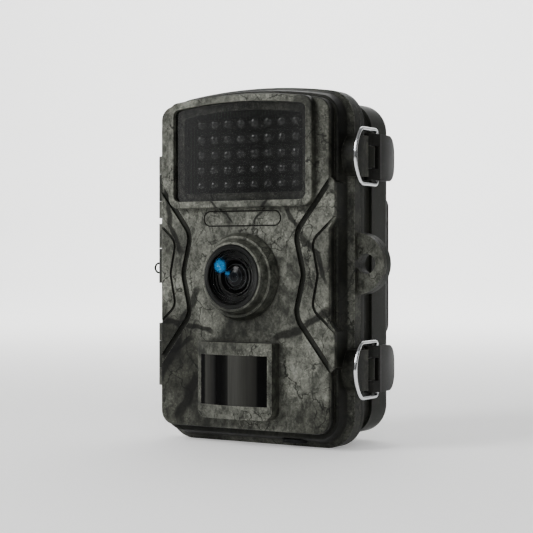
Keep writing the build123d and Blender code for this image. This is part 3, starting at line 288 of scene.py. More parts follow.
def painted_wall_shade(tree, colour, place):
    """Painted shade: darker colour over steep walls and the panel's step, and in its sunk lines."""
    axes = add(tree, "ShaderNodeSeparateXYZ", {0: place}).outputs
    facing = add(tree, "ShaderNodeSeparateXYZ",
                 {0: add(tree, "ShaderNodeTexCoord").outputs["Normal"]}).outputs["Y"]
    # painted shade: walls that turn away from the front are darkened
    steep = band(tree, facing, -0.86, -0.45, 0.0, 0.68)
    colour = blend_of(tree, "MULTIPLY", steep, colour, linear("#7f8078"))
    # painted shade on the step behind the front panel
    behind = math_of(tree, "MULTIPLY", band(tree, axes["Y"], *STEP_TOP),
                     band(tree, axes["Y"], *STEP_FOOT, 0.92, 0.3))
    colour = blend_of(tree, "MULTIPLY", behind, colour, linear("#5d5e58"))
    across = math_of(tree, "ABSOLUTE", axes["X"])
    height = math_of(tree, "ABSOLUTE", math_of(tree, "SUBTRACT", axes["Z"], SUNK_MIDDLE))
    # painted shade on the floors of the sunk lines
    sunk = math_of(tree, "MULTIPLY", band(tree, axes["Y"], *SUNK_FACE),
                   band(tree, axes["Y"], *SUNK_FLOOR, 1.0, 0.0))
    sunk = math_of(tree, "MULTIPLY", sunk, band(tree, across, *SUNK_HALF_WIDTH, 1.0, 0.0))
    sunk = math_of(tree, "MULTIPLY", sunk, band(tree, height, *SUNK_HALF_HEIGHT, 1.0, 0.0))
    return blend_of(tree, "MIX", math_of(tree, "MULTIPLY", sunk, 0.86), colour,
                    linear("#131410"))


def camouflage_abs(looks):
    """ABS under a water-transfer camouflage film: bark mottling, cracks and branches, satin lacquer;
    painted shade on its walls and in its hollows, painted highlight with wear on its edges.
    """
    material, tree, shader = start("camouflage_film_abs", IOR=1.46, Specular_IOR_Level=0.14)
    grain = in_millimetres(tree, (1.0, 1.0, 1.35))
    place = in_millimetres(tree)
    colour, fibre, patch, fleck = bark(tree, place, grain, looks)
    colour = bark_cracks(tree, colour, place, grain, patch)
    colour = printed_scene(tree, colour, place)
    # painted shade on walls, step and sunk lines
    colour = painted_wall_shade(tree, colour, place)

    # the film rubs thin on edges, where the paler base shows, and painted highlight lightens them too;
    # corners and grooves get painted shade
    rim_wear_and_sheen = spark_texture(tree, shader, 0.28, 0.02, 0.5, 0.3)
    deep = recess_shade(tree, 2.5)
    # painted shade in corners and grooves
    colour = blend_of(tree, "MIX", math_of(tree, "MULTIPLY", deep, 0.6), colour,
                      linear("#141410"))
    # rounded edges lightened: partly worn film, partly a painted highlight
    wear_and_sheen = math_of(tree, "MULTIPLY", math_of(tree, "MULTIPLY", rim_wear_and_sheen, looks.edge_wear_and_sheen),
                   math_of(tree, "SUBTRACT", 1.0, deep))
    wear_and_sheen = math_of(tree, "MULTIPLY", wear_and_sheen, band(tree, fleck, 0.35, 0.6))
    colour = blend_of(tree, "MIX", wear_and_sheen, colour, linear("#8f9086"))
    tree.links.new(colour, shader.inputs["Base Color"])
    tree.links.new(band(tree, fibre, 0.3, 0.7, 0.46, 0.62), shader.inputs["Roughness"])
    return material


def moulded_abs(name, code, roughness, grain, depth):
    """Injection-moulded ABS with a spark-eroded texture: even satin, slightly cloudy in its gloss, its
    edges lightened by scuffing and by painted highlight.
    """
    material, tree, shader = start(name, IOR=1.53, Specular_IOR_Level=0.09)
    place = in_millimetres(tree)
    cloud = add(tree, "ShaderNodeTexNoise",
                {"Vector": place, "Scale": 1 / 14.0, "Detail": 5.0, "Roughness": 0.6}).outputs["Fac"]
    speck = add(tree, "ShaderNodeTexNoise",
                {"Vector": place, "Scale": 1 / 0.7, "Detail": 3.0}).outputs["Fac"]
    base = Vector(linear(code)[:3])
    shade = band(tree, cloud, 0.3, 0.7)
    colour = blend_of(tree, "MIX", shade, [*(base * 0.82), 1.0], [*(base * 1.18), 1.0])
    dust = math_of(tree, "MULTIPLY", band(tree, speck, 0.6, 0.75), 0.12)
    colour = blend_of(tree, "MIX", dust, colour, linear("#77786f"))
    # rounded edges lightened: partly scuffing, partly a painted highlight
    rim_wear_and_sheen = spark_texture(tree, shader, grain, depth, 0.6)
    rim_wear_and_sheen = math_of(tree, "MULTIPLY", rim_wear_and_sheen, band(tree, cloud, 0.35, 0.65, 0.1, 0.45))
    colour = blend_of(tree, "MIX", rim_wear_and_sheen, colour, [*(base * 2.2 + Vector((0.03, 0.03, 0.03))), 1.0])
    tree.links.new(colour, shader.inputs["Base Color"])
    gloss = band(tree, cloud, 0.25, 0.75, roughness - 0.06, roughness + 0.08)
    tree.links.new(gloss, shader.inputs["Roughness"])
    return material


def smoked_acrylic(looks):
    """Smoked acrylic pane: a near-black polished outer skin on a clear core, faint wipe marks."""
    material, tree, shader = start("smoked_acrylic", Base_Color=linear("#0a0b09"), IOR=1.49,
                                   Specular_IOR_Level=1.0)
    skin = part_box("ir_window")[0].y / MM
    depth = add(tree, "ShaderNodeSeparateXYZ", {0: in_millimetres(tree)}).outputs["Y"]
    tree.links.new(band(tree, depth, skin + 0.1, skin + 0.3, looks.window_density, 0.0),
                   shader.inputs["Alpha"])
    wipe = add(tree, "ShaderNodeTexNoise",
               {"Vector": in_millimetres(tree, (6.0, 1.0, 1.0)), "Scale": 1 / 1.2, "Detail": 4.0})
    tree.links.new(band(tree, wipe.outputs["Fac"], 0.3, 0.8, 0.03, 0.11), shader.inputs["Roughness"])
    return material


def clear_epoxy():
    """Lamp epoxy: tinted body under a polished tip that holds a soft highlight."""
    material, tree, shader = start("clear_epoxy", IOR=1.54, Roughness=0.09,
                                   Specular_IOR_Level=1.0)
    cloud = add(tree, "ShaderNodeTexNoise",
                {"Vector": in_millimetres(tree), "Scale": 1 / 1.6, "Detail": 2.0}).outputs["Fac"]
    tree.links.new(ramp(tree, cloud, (0.3, "#191b1a"), (0.7, "#2c2f2d")), shader.inputs["Base Color"])
    return material


def plated_metal(name, code, roughness, scratch):
    """Plated or turned metal, with tool marks of the given spacing in its colour and gloss."""
    material, tree, shader = start(name, Metallic=1.0)
    marks = add(tree, "ShaderNodeTexNoise",
                {"Vector": in_millimetres(tree, (1.0, 1.0, 8.0)), "Scale": 1 / scratch,
                 "Detail": 4.0}).outputs["Fac"]
    base = Vector(linear(code)[:3])
    colour = blend_of(tree, "MIX", marks, [*(base * 0.88), 1.0], [*base, 1.0])
    tree.links.new(colour, shader.inputs["Base Color"])
    tree.links.new(band(tree, marks, 0.3, 0.7, roughness * 0.7, roughness * 1.3),
                   shader.inputs["Roughness"])
    return material


def polished_resin(name, code, roughness, dust_amount):
    """Polished dark resin or glass: mirror-like, with smears and specks of dust."""
    material, tree, shader = start(name, IOR=1.5)
    place = in_millimetres(tree)
    dust = add(tree, "ShaderNodeTexNoise", {"Vector": place, "Scale": 1 / 0.35, "Detail": 2.0})
    mark = band(tree, dust.outputs["Fac"], 0.68, 0.8)
    colour = blend_of(tree, "MIX", math_of(tree, "MULTIPLY", mark, dust_amount), linear(code),
                      linear("#6d6e68"))
    tree.links.new(colour, shader.inputs["Base Color"])
    smear = add(tree, "ShaderNodeTexNoise", {"Vector": place, "Scale": 1 / 5.0, "Detail": 3.0})
    tree.links.new(band(tree, smear.outputs["Fac"], 0.3, 0.7, roughness, roughness * 2.2),
                   shader.inputs["Roughness"])
    return material


def turned_aluminium():
    """Blackened, lathe-turned rings: fine grooves that draw two opposite wedges of light."""
    material, tree, shader = start("turned_black_aluminium", Metallic=0.75, Roughness=0.34,
                                   Anisotropic=0.85)
    place = in_millimetres(tree)
    radius = offset_from(tree, place, LENS_AXIS)
    groove = add(tree, "ShaderNodeTexNoise",
                 {"W": math_of(tree, "MULTIPLY", radius, 1.6), "Detail": 3.0, "Roughness": 0.7},
                 noise_dimensions="1D").outputs["Fac"]
    tree.links.new(ramp(tree, groove, (0.36, "#060606"), (0.5, "#121312"), (0.62, "#2e2f2d")),
                   shader.inputs["Base Color"])
    spoke = add(tree, "ShaderNodeVectorMath", {0: place, 1: LENS_AXIS},
                operation="SUBTRACT").outputs[0]
    round_about = add(tree, "ShaderNodeVectorMath", {0: spoke, 1: (0.0, 1.0, 0.0)},
                      operation="CROSS_PRODUCT").outputs[0]
    tree.links.new(add(tree, "ShaderNodeVectorMath", {0: round_about},
                       operation="NORMALIZE").outputs[0], shader.inputs["Tangent"])
    return material


def banded_polyethylene():
    """Tinted polyethylene lens: painted reflection and shade in upright bands, standing for the segments
    moulded inside it.
    """
    material, tree, shader = start("tinted_polyethylene", IOR=1.5, Specular_IOR_Level=0.03)
    place = in_millimetres(tree)
    low, high = (corner.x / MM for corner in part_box("pir_lens"))
    across = add(tree, "ShaderNodeSeparateXYZ", {0: place}).outputs["X"]
    share = math_of(tree, "DIVIDE", math_of(tree, "SUBTRACT", across, low), high - low)
    # painted reflection and shade: light and dark bands across the lens's width
    painted_reflection_bands = [(0.0, "#040404"), (0.06, "#060606"), (0.08, "#353532"), (0.23, "#1b1b1a"),
             (0.26, "#040404"), (0.35, "#040404"), (0.4, "#0c0c0b"), (0.44, "#191918"),
             (0.46, "#393936"), (0.57, "#3b3b38"), (0.68, "#30302d"), (0.85, "#20201e"),
             (0.88, "#040404"), (1.0, "#040404")]
    wash = add(tree, "ShaderNodeTexNoise",
               {"Vector": in_millimetres(tree, (1.0, 1.0, 30.0)), "Scale": 1 / 0.8,
                "Detail": 2.0}).outputs["Fac"]
    tone = blend_of(tree, "MULTIPLY", 0.4, ramp(tree, share, *painted_reflection_bands),
                    ramp(tree, wash, (0.3, "#b0b0b0"), (0.7, "#ffffff")))
    tree.links.new(tone, shader.inputs["Base Color"])
    tree.links.new(band(tree, wash, 0.3, 0.7, 0.16, 0.26), shader.inputs["Roughness"])
    return material


def coated_glass():
    """Multi-coated inner element: near black, ringed with painted reflections of the edges of the
    elements behind it.
    """
    material, tree, shader = start("coated_optical_glass", IOR=1.5, Roughness=0.07,
                                   Specular_IOR_Level=0.1)
    place = in_millimetres(tree)
    radius = offset_from(tree, place, LENS_AXIS)
    outer = 5.6                                 # just past the element's own edge
    # painted reflection: thin light rings at the edges of the elements behind
    rings = [(0.0, "#050608"), (0.1, "#0b0e12"), (0.3, "#101317"), (0.32, "#34373a"),
             (0.36, "#0a0b0c"), (0.55, "#0b0c0e"), (0.57, "#2a2c2e"), (0.61, "#060606"),
             (0.8, "#0a0a0a"), (0.83, "#3a3c3d"), (0.87, "#070707"), (1.0, "#050505")]
    tree.links.new(ramp(tree, math_of(tree, "DIVIDE", radius, outer), *rings),
                   shader.inputs["Base Color"])
    return material


def coated_cover():
    """Clear cover glass with a painted reflection: a ragged blue glint of its coating, up and to the
    left.
    """
    material, tree, shader = start("coated_cover_glass", IOR=1.45, Roughness=0.02,
                                   Specular_IOR_Level=0.15)
    place = in_millimetres(tree)
    ragged = add(tree, "ShaderNodeTexNoise",
                 {"Vector": place, "Scale": 1 / 0.9, "Detail": 5.0, "Roughness": 0.8}).outputs["Fac"]
    edge = math_of(tree, "MULTIPLY", math_of(tree, "SUBTRACT", ragged, 0.5), 6.5)
    x, y, z = LENS_AXIS
    # painted reflection: a ragged blue glint and a smaller fleck nearer the middle
    from_glint = offset_from(tree, place, (x - 5.0, y, z + 4.0))
    painted_glint = band(tree, math_of(tree, "ADD", from_glint, edge), 1.9, 2.8, 1.0, 0.0)
    from_glint_dot = offset_from(tree, place, (x - 1.6, y, z + 1.2))
    painted_glint_dot = band(tree, math_of(tree, "ADD", from_glint_dot, edge), 0.4, 0.9, 0.9, 0.0)
    painted_glint = math_of(tree, "MAXIMUM", painted_glint, painted_glint_dot)
    blue = ramp(tree, ragged, (0.35, "#0c4672"), (0.55, "#1f6c9e"), (0.72, "#8cc0da"))
    tree.links.new(blend_of(tree, "MIX", painted_glint, linear("#020202"), blue),
                   shader.inputs["Base Color"])
    tree.links.new(math_of(tree, "ADD", math_of(tree, "MULTIPLY", painted_glint, 0.85), 0.02),
                   shader.inputs["Alpha"])
    return material


def board_mask(name, code):
    """Fibreglass board under solder mask: satin, with faint copper tracks below."""
    material, tree, shader = start(name, Roughness=0.35, IOR=1.5)
    track = add(tree, "ShaderNodeTexBrick",
                {"Vector": in_millimetres(tree), "Scale": 0.35,
                 "Color1": linear(code), "Color2": linear(code), "Mortar": linear("#3f6a44"),
                 "Mortar Size": 0.03}).outputs["Color"]
    weave = add(tree, "ShaderNodeTexNoise",
                {"Vector": in_millimetres(tree), "Scale": 1 / 0.8, "Detail": 2.0}).outputs["Fac"]
    colour = blend_of(tree, "MULTIPLY", 0.35, track, ramp(tree, weave, (0.3, "#808080"),
                                                          (0.7, "#ffffff")))
    tree.links.new(colour, shader.inputs["Base Color"])
    return material


def cell_sleeve():
    """Shrink sleeve of a battery cell: dark blue body, gold shoulder, bare ends, glossy film."""
    material, tree, shader = start("battery_sleeve", Roughness=0.28, IOR=1.5, Coat_Weight=0.3)
    place = add(tree, "ShaderNodeSeparateXYZ", {0: in_millimetres(tree)})
    wave = add(tree, "ShaderNodeTexNoise",
               {"Vector": in_millimetres(tree), "Scale": 1 / 3.0, "Detail": 2.0}).outputs["Fac"]
    height = math_of(tree, "ADD", place.outputs["Z"], math_of(tree, "MULTIPLY", wave, 0.3))
    low, high = (corner.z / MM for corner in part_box("battery_cells"))
    tree.links.new(ramp(tree, band(tree, height, low, high), (0.0, "#a9a9a4"), (0.05, "#b9b9b4"),
                        (0.06, "#28364a"), (0.7, "#2c3c52"), (0.72, "#b98a35"), (0.94, "#c2963c"),
                        (0.96, "#b5b5b0")), shader.inputs["Base Color"])
    return material


def screen_glass():
    """Switched-off display: deep blue-black glass, faintly clouded."""
    material, tree, shader = start("display_glass", Roughness=0.08, IOR=1.52)
    cloud = add(tree, "ShaderNodeTexNoise",
                {"Vector": in_millimetres(tree), "Scale": 1 / 9.0, "Detail": 2.0}).outputs["Fac"]
    tree.links.new(ramp(tree, cloud, (0.3, "#0b0e12"), (0.7, "#141a20")), shader.inputs["Base Color"])
    return material


def clear_pane():
    """Clear acrylic cover: colourless, polished, lightly scuffed."""
    material, tree, shader = start("clear_acrylic", Base_Color=linear("#dfe3e2"), IOR=1.49,
                                   Alpha=0.22)
    scuff = add(tree, "ShaderNodeTexNoise",
                {"Vector": in_millimetres(tree), "Scale": 1 / 2.5, "Detail": 5.0}).outputs["Fac"]
    tree.links.new(band(tree, scuff, 0.4, 0.8, 0.04, 0.16), shader.inputs["Roughness"])
    return material


# ---------------------------------------------------------------- surfaces by numpy
def mesh_from_grid(name, points, closed_u, closed_v):
    """A mesh from a grid of points (rows, columns, 3), quads between neighbours, wrapped if closed."""
    rows, columns = points.shape[:2]
    u = np.arange(rows if closed_u else rows - 1)
    v = np.arange(columns if closed_v else columns - 1)
    u, v = (a.ravel() for a in np.meshgrid(u, v, indexing="ij"))
    next_u, next_v = (u + 1) % rows, (v + 1) % columns
    quads = np.stack([u * columns + v, next_u * columns + v, next_u * columns + next_v,
                      u * columns + next_v], axis=1)
    mesh = bpy.data.meshes.new(name)
    mesh.from_pydata(points.reshape(-1, 3).tolist(), [], quads.tolist())
    mesh.update()
    mesh.shade_smooth()
    return mesh


def piece(name, mesh, material, body, slot, *nodes):
    """A finished piece: its object, its material, the body it rides on and the nodes it stands for."""
    obj = bpy.data.objects.new(name, mesh)
    bpy.context.scene.collection.objects.link(obj)
    mesh.materials.append(material)
    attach(obj, body)
    if nodes:
        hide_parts(*nodes)
    return obj


def turned_points(profile, centre, steps=96):
    """Points of a surface of revolution: each (radius, depth) of the profile circled about the axis."""
    profile = np.asarray(profile, float)
    angle = np.linspace(0, 2 * pi, steps, endpoint=False)
    radius, depth = profile[:, 0][:, None], profile[:, 1][:, None]
    x = centre[0] + radius * np.cos(angle)
    z = centre[2] + radius * np.sin(angle)
    y = centre[1] + depth + np.zeros_like(x)
    return np.stack([x, y, z], axis=-1)


def tube_points(path, across, radius, sides=24):
    """Points of a tube round a closed flat path: at each path point a circle stands square to it.

    The circle lies in the plane of the path's outward normal and of `across`, the normal of the
    plane that the path lies in.
    """
    ahead = np.roll(path, -1, axis=0) - np.roll(path, 1, axis=0)
    ahead /= np.linalg.norm(ahead, axis=1, keepdims=True)
    outward = np.cross(ahead, across)
    angle = np.linspace(0, 2 * pi, sides, endpoint=False)
    ring = (np.cos(angle)[None, :, None] * outward[:, None, :]
            + np.sin(angle)[None, :, None] * np.asarray(across)[None, None, :])
    return path[:, None, :] + radius * ring


def bail_path(node, corner=1.9 * MM, bow=4.6 * MM, wire=0.7 * MM, steps=480):
    """Centre line of a bail: a rectangle with one side bowed, its corners rounded.

    The sharp loop is walked at even steps, then each point is moved to the mean of its
    neighbours over the length that a corner's arc takes, which rounds the corners alone.
    """
    low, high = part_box(node)
    x = (low.x + high.x) / 2
    rear, front = high.y - wire, low.y + wire
    bottom, top = low.z + wire, high.z - wire
    half, middle = (top - bottom) / 2, (top + bottom) / 2
    radius = (half ** 2 + bow ** 2) / (2 * bow)
    turn = np.arcsin(half / radius)
    swing = np.linspace(-turn, turn, 80)
    arc = np.stack([front + radius * (1 - np.cos(swing)), middle + radius * np.sin(swing)], axis=1)
    loop = np.concatenate([[(rear, bottom)], arc, [(rear, top)], [(rear, bottom)]])
    run = np.concatenate([[0], np.cumsum(np.linalg.norm(np.diff(loop, axis=0), axis=1))])
    at = np.linspace(0, run[-1], steps, endpoint=False)
    even = np.stack([np.interp(at, run, loop[:, 0]), np.interp(at, run, loop[:, 1])], axis=1)
    reach = int(round(corner * 0.72 / (run[-1] / steps)))
    smooth = np.mean([np.roll(even, shift, axis=0) for shift in range(-reach, reach + 1)], axis=0)
    return np.stack([np.full(steps, x), smooth[:, 0], smooth[:, 1]], axis=1)


def lamp_profile(radius, flange, tip, seat):
    """(radius, depth) of a round lamp: flat foot, flange, straight body, half-round tip."""
    dome = np.linspace(pi / 2, 0, 14)
    nose = [(radius * sin(a), tip + radius - radius * cos(a)) for a in dome]
    return [(POLE, seat), (flange, seat), (flange, seat - 1.0 * MM), (radius, seat - 1.0 * MM),
            *nose[:-1], (POLE, tip)]


def merged(meshes, name):
    """One mesh from several, with their faces in order."""
    corners, faces, base = [], [], 0
    for mesh in meshes:
        points = np.empty(len(mesh.vertices) * 3)
        mesh.vertices.foreach_get("co", points)
        corners.append(points.reshape(-1, 3))
        faces += [[base + v for v in polygon.vertices] for polygon in mesh.polygons]
        base += len(mesh.vertices)
        bpy.data.meshes.remove(mesh)
    whole = bpy.data.meshes.new(name)
    whole.from_pydata(np.concatenate(corners).tolist(), [], faces)
    whole.update()
    whole.shade_smooth()
    return whole


# ---------------------------------------------------------------------- finishes
MADE = {}


def makers(looks):
    """Each material slot of the record, with what makes its finish."""
    return {
        "camo_abs": lambda: camouflage_abs(looks),
        "black_abs": lambda: moulded_abs("textured_black_abs", "#21221e", 0.48, 0.4, 0.02),
        "latch_abs": lambda: moulded_abs("satin_black_abs", "#171715", 0.34, 0.3, 0.012),
        "chrome_wire": lambda: plated_metal("bright_chrome", "#dadcdd", 0.08, 2.0),
        "zinc_steel": lambda: plated_metal("zinc_plate", "#a9adad", 0.3, 1.0),
        "screw_steel": lambda: plated_metal("screw_steel", "#6d6f70", 0.32, 0.8),
        "brass_insert": lambda: plated_metal("turned_brass", "#b99a55", 0.25, 0.6),
        "seal_rubber": lambda: moulded_abs("silicone_rubber", "#1b1c1c", 0.66, 0.5, 0.008),
        "smoked_acrylic": lambda: smoked_acrylic(looks),
        "led_epoxy": clear_epoxy,
        "photocell": lambda: polished_resin("photocell_resin", "#3a2a20", 0.1, 0.1),
        "black_board": lambda: board_mask("black_solder_mask", "#0b0f0d"),
        "green_board": lambda: board_mask("green_solder_mask", "#0e4a2a"),
        "lens_black": turned_aluminium,
        "coated_glass": coated_glass,
        "cover_glass": coated_cover,
        "filter_glass": lambda: polished_resin("filter_glass", "#57303a", 0.03, 0.05),
        "silicon": lambda: polished_resin("epoxy_package", "#131416", 0.22, 0.2),
        "coil_black": lambda: moulded_abs("coil_nylon", "#1a1a1a", 0.5, 0.3, 0.01),
        "pir_plastic": banded_polyethylene,
        "nickel_can": lambda: plated_metal("nickel_can", "#b9b4a6", 0.22, 1.5),
        "speaker_black": lambda: moulded_abs("speaker_moulding", "#181818", 0.5, 0.3, 0.01),
        "jack_black": lambda: moulded_abs("black_nylon", "#141414", 0.45, 0.3, 0.008),
        "chassis_abs": lambda: moulded_abs("chassis_abs", "#1f201f", 0.5, 0.45, 0.03),
        "key_plastic": lambda: moulded_abs("key_rubber", "#6b6e6e", 0.55, 0.3, 0.006),
        "knob_plastic": lambda: moulded_abs("knob_nylon", "#a8411f", 0.42, 0.3, 0.006),
        "lcd_glass": screen_glass,
        "clear_acrylic": clear_pane,
        "card_plastic": lambda: moulded_abs("card_moulding", "#151617", 0.45, 0.25, 0.005),
        "cell_jacket": cell_sleeve,
        "contact_nickel": lambda: plated_metal("contact_nickel", "#b6b1a2", 0.24, 1.0),
    }


def finish_of(slot, looks):
    """The material of a slot, made once."""
    if slot not in MADE:
        MADE[slot] = makers(looks)[slot]()
    return MADE[slot]


# ------------------------------------------------------------------------ add-on
class TrailCameraLooks(bpy.types.PropertyGroup):
    """What a user would change."""

    bark_colour: bpy.props.FloatVectorProperty(
        name="Bark colour", description="Middle tone of the camouflage film", subtype="COLOR",
        size=3, min=0.0, max=1.0, default=linear("#595a53")[:3])
    bark_grain: bpy.props.FloatProperty(
        name="Bark grain", description="Size of the film's mottling, in millimetres",
        default=3.4, min=0.5, max=20.0)
    # how far edges are lightened, by worn film and by painted highlight
    edge_wear_and_sheen: bpy.props.FloatProperty(
        name="Edge wear", description="How far the film is rubbed thin along edges",
        subtype="FACTOR", default=0.4, min=0.0, max=1.0)
    window_density: bpy.props.FloatProperty(
        name="Window density", description="Share of light that the smoked window stops",
        subtype="FACTOR", default=0.62, min=0.0, max=1.0)
    wire_gauge: bpy.props.FloatProperty(
        name="Bail wire", description="Radius of the bails' wire", unit="LENGTH",
        default=0.7 * MM, min=0.3 * MM, max=0.7 * MM)
    floor_colour: bpy.props.FloatVectorProperty(
        name="Floor colour", description="Colour of the sweep that the camera stands on",
        subtype="COLOR", size=3, min=0.0, max=1.0, default=linear("#f4f4f3")[:3])
    key_power: bpy.props.FloatProperty(
        name="Key light", description="Power of the key light", unit="POWER", default=8.5,
        min=0.0, max=200.0)


class TRAILCAM_OT_finishes(bpy.types.Operator):
    """Gives every CAD part the finish of its material slot"""

    bl_idname = "trailcam.finishes"
    bl_label = "Finish the CAD parts"

    def execute(self, context):
        looks = context.scene.trail_camera_looks
        for part in frame["record"]["subparts"]:
            obj = frame["nodes"][part["node"]]
            for slot in obj.material_slots:
                slot.material = finish_of(part["material_slot"], looks)
        return {"FINISHED"}


class TRAILCAM_OT_lamps(bpy.types.Operator):
    """Adds the grid of round infrared lamps, each with its reflector cup"""

    bl_idname = "trailcam.lamps"
    bl_label = "Infrared lamps"

    def execute(self, context):
        looks = context.scene.trail_camera_looks
        columns, rows, pitch_x, pitch_z = 8, 5, 6.1 * MM, 5.9 * MM
        low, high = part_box("ir_leds")
        radius, flange = 2.48 * MM, 2.83 * MM
        middle_x, middle_z = (low.x + high.x) / 2, (low.z + high.z) / 2
        shape = lamp_profile(radius, flange, low.y, high.y)
        under, floor, lip = high.y - 1.2 * MM, high.y - 1.7 * MM, high.y - 3.0 * MM
        cup = [(0.35 * MM, floor), (0.9 * MM, floor), (1.5 * MM, lip), (1.62 * MM, lip),
               (1.2 * MM, under), (0.35 * MM, under)]
        bodies, cups = [], []
        for column in range(columns):
            for row in range(rows):
                centre = (middle_x + (column - (columns - 1) / 2) * pitch_x, 0.0,
                          middle_z + (row - (rows - 1) / 2) * pitch_z)
                bodies.append(mesh_from_grid("lamp", turned_points(shape, centre, 32),
                                             False, True))
                cups.append(mesh_from_grid("cup", turned_points(cup, centre, 20), True, True))
        piece("ir_lamps", merged(bodies, "ir_lamps"), finish_of("led_epoxy", looks), "front",
              "led_epoxy", "ir_leds")
        piece("lamp_cups", merged(cups, "lamp_cups"), finish_of("nickel_can", looks), "front",
              "nickel_can")
        return {"FINISHED"}


def domed_glass(name, node, curve, inset, steps):
    """A glass as wide as a node: a dome of the given radius in front, a flat back a little smaller."""
    low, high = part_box(node)
    reach = (high.x - low.x) / 2
    swing = np.linspace(0, np.arcsin(reach / curve), steps)
    dome = [(max(curve * sin(a), POLE), low.y + curve * (1 - cos(a))) for a in swing]
    profile = [*dome, (reach - inset, high.y), (POLE, high.y)]
    return mesh_from_grid(name, turned_points(profile, (LENS_X, 0.0, LENS_Z), 128), False, True)


class TRAILCAM_OT_lens(bpy.types.Operator):
    """Adds the cover glass of the lens and the domed element behind it"""

    bl_idname = "trailcam.lens"
    bl_label = "Lens"

    def execute(self, context):
        looks = context.scene.trail_camera_looks
        mesh = domed_glass("front_element", "lens_glass", 8.83 * MM, 0.2 * MM, 40)
        piece("front_element", mesh, finish_of("coated_glass", looks), "front", "coated_glass",
              "lens_glass")
        low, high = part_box("cover_glass")
        reach, sag = (high.x - low.x) / 2, 0.6 * MM
        mesh = domed_glass("cover_dome", "cover_glass", (reach ** 2 + sag ** 2) / (2 * sag), 0.0, 32)
        piece("cover_dome", mesh, finish_of("cover_glass", looks), "front", "coated_glass",
              "cover_glass")
        return {"FINISHED"}


class TRAILCAM_OT_bails(bpy.types.Operator):
    """Bends the two wire bails of the latches"""

    bl_idname = "trailcam.bails"
    bl_label = "Wire bails"

    def execute(self, context):
        looks = context.scene.trail_camera_looks
        for name in ("bail_upper", "bail_lower"):
            points = tube_points(bail_path(name), (1.0, 0.0, 0.0), looks.wire_gauge)
            piece(f"{name}_wire", mesh_from_grid(f"{name}_wire", points, True, True),
                  finish_of("chrome_wire", looks), name, "chrome_wire", name)
        return {"FINISHED"}


# the tent's front seen from the object, from 80 degrees left to 20 degrees right
PANELS_FROM, PANELS_SPAN = radians(80), radians(100)
PANELS = [
    (0.0, "#ffffff"), (0.14, "#ffffff"), (0.17, "#141414"), (0.21, "#242424"), (0.23, "#dadada"),
    (0.29, "#b4b4b4"), (0.31, "#0e0e0e"), (0.39, "#0e0e0e"), (0.42, "#767676"), (0.44, "#dedede"),
    (0.454, "#b5b5b5"), (0.475, "#686868"), (0.49, "#8c8c8c"), (0.5, "#bebebe"),
    (0.55, "#cacaca"), (0.62, "#808080"), (0.7, "#2e2e2e"), (0.8, "#242424"), (1.0, "#606060"),
]


def panel_light(name, place, target, width, height, power, tint="#ffffff"):
    """A soft rectangular light that faces a point."""
    data = bpy.data.lights.new(name, "AREA")
    data.shape, data.size, data.size_y = "RECTANGLE", width, height
    data.energy = power
    data.color = linear(tint)[:3]
    obj = bpy.data.objects.new(name, data)
    bpy.context.scene.collection.objects.link(obj)
    obj.location = place
    obj.rotation_euler = (Vector(target) - Vector(place)).to_track_quat("-Z", "Y").to_euler()
    return obj


def paper_sweep(looks, floor_z):
    """A floor lit from below that curves up into a wall, square to the main camera."""
    reach, start_behind = 3.0, 1.2
    deep = np.array([0.0, 0.5, 1.5, 2.6, 2.9, 3.08, 3.2, 3.27, 3.3, 3.3, 3.3]) - start_behind
    rise = np.array([0.0, 0.0, 0.0, 0.0, 0.03, 0.12, 0.3, 0.5, 0.8, 1.6, 3.2])
    across = np.linspace(-reach, reach, 5)
    along, side = np.meshgrid(np.concatenate([[-reach], deep]), across, indexing="ij")
    up = np.repeat(np.concatenate([[0.0], rise])[:, None], len(across), axis=1)
    points = np.stack([side * cos(VIEW_TURN) - along * sin(VIEW_TURN),
                       side * sin(VIEW_TURN) + along * cos(VIEW_TURN), up + floor_z], axis=-1)
    mesh = mesh_from_grid("sweep", points[:, ::-1], False, False)
    sweep = bpy.data.objects.new("sweep", mesh)
    bpy.context.scene.collection.objects.link(sweep)
    material, tree, shader = start("white_acrylic", Roughness=0.9, Emission_Strength=0.3,
                                   Emission_Color=linear("#ffffff"))
    cloud = add(tree, "ShaderNodeTexNoise",
                {"Vector": in_millimetres(tree), "Scale": 1 / 900.0, "Detail": 2.0})
    base = Vector(looks.floor_colour)
    tree.links.new(blend_of(tree, "MIX", cloud.outputs["Fac"], [*(base * 0.98), 1.0],
                            [*base, 1.0]), shader.inputs["Base Color"])
    mesh.materials.append(material)
    return sweep


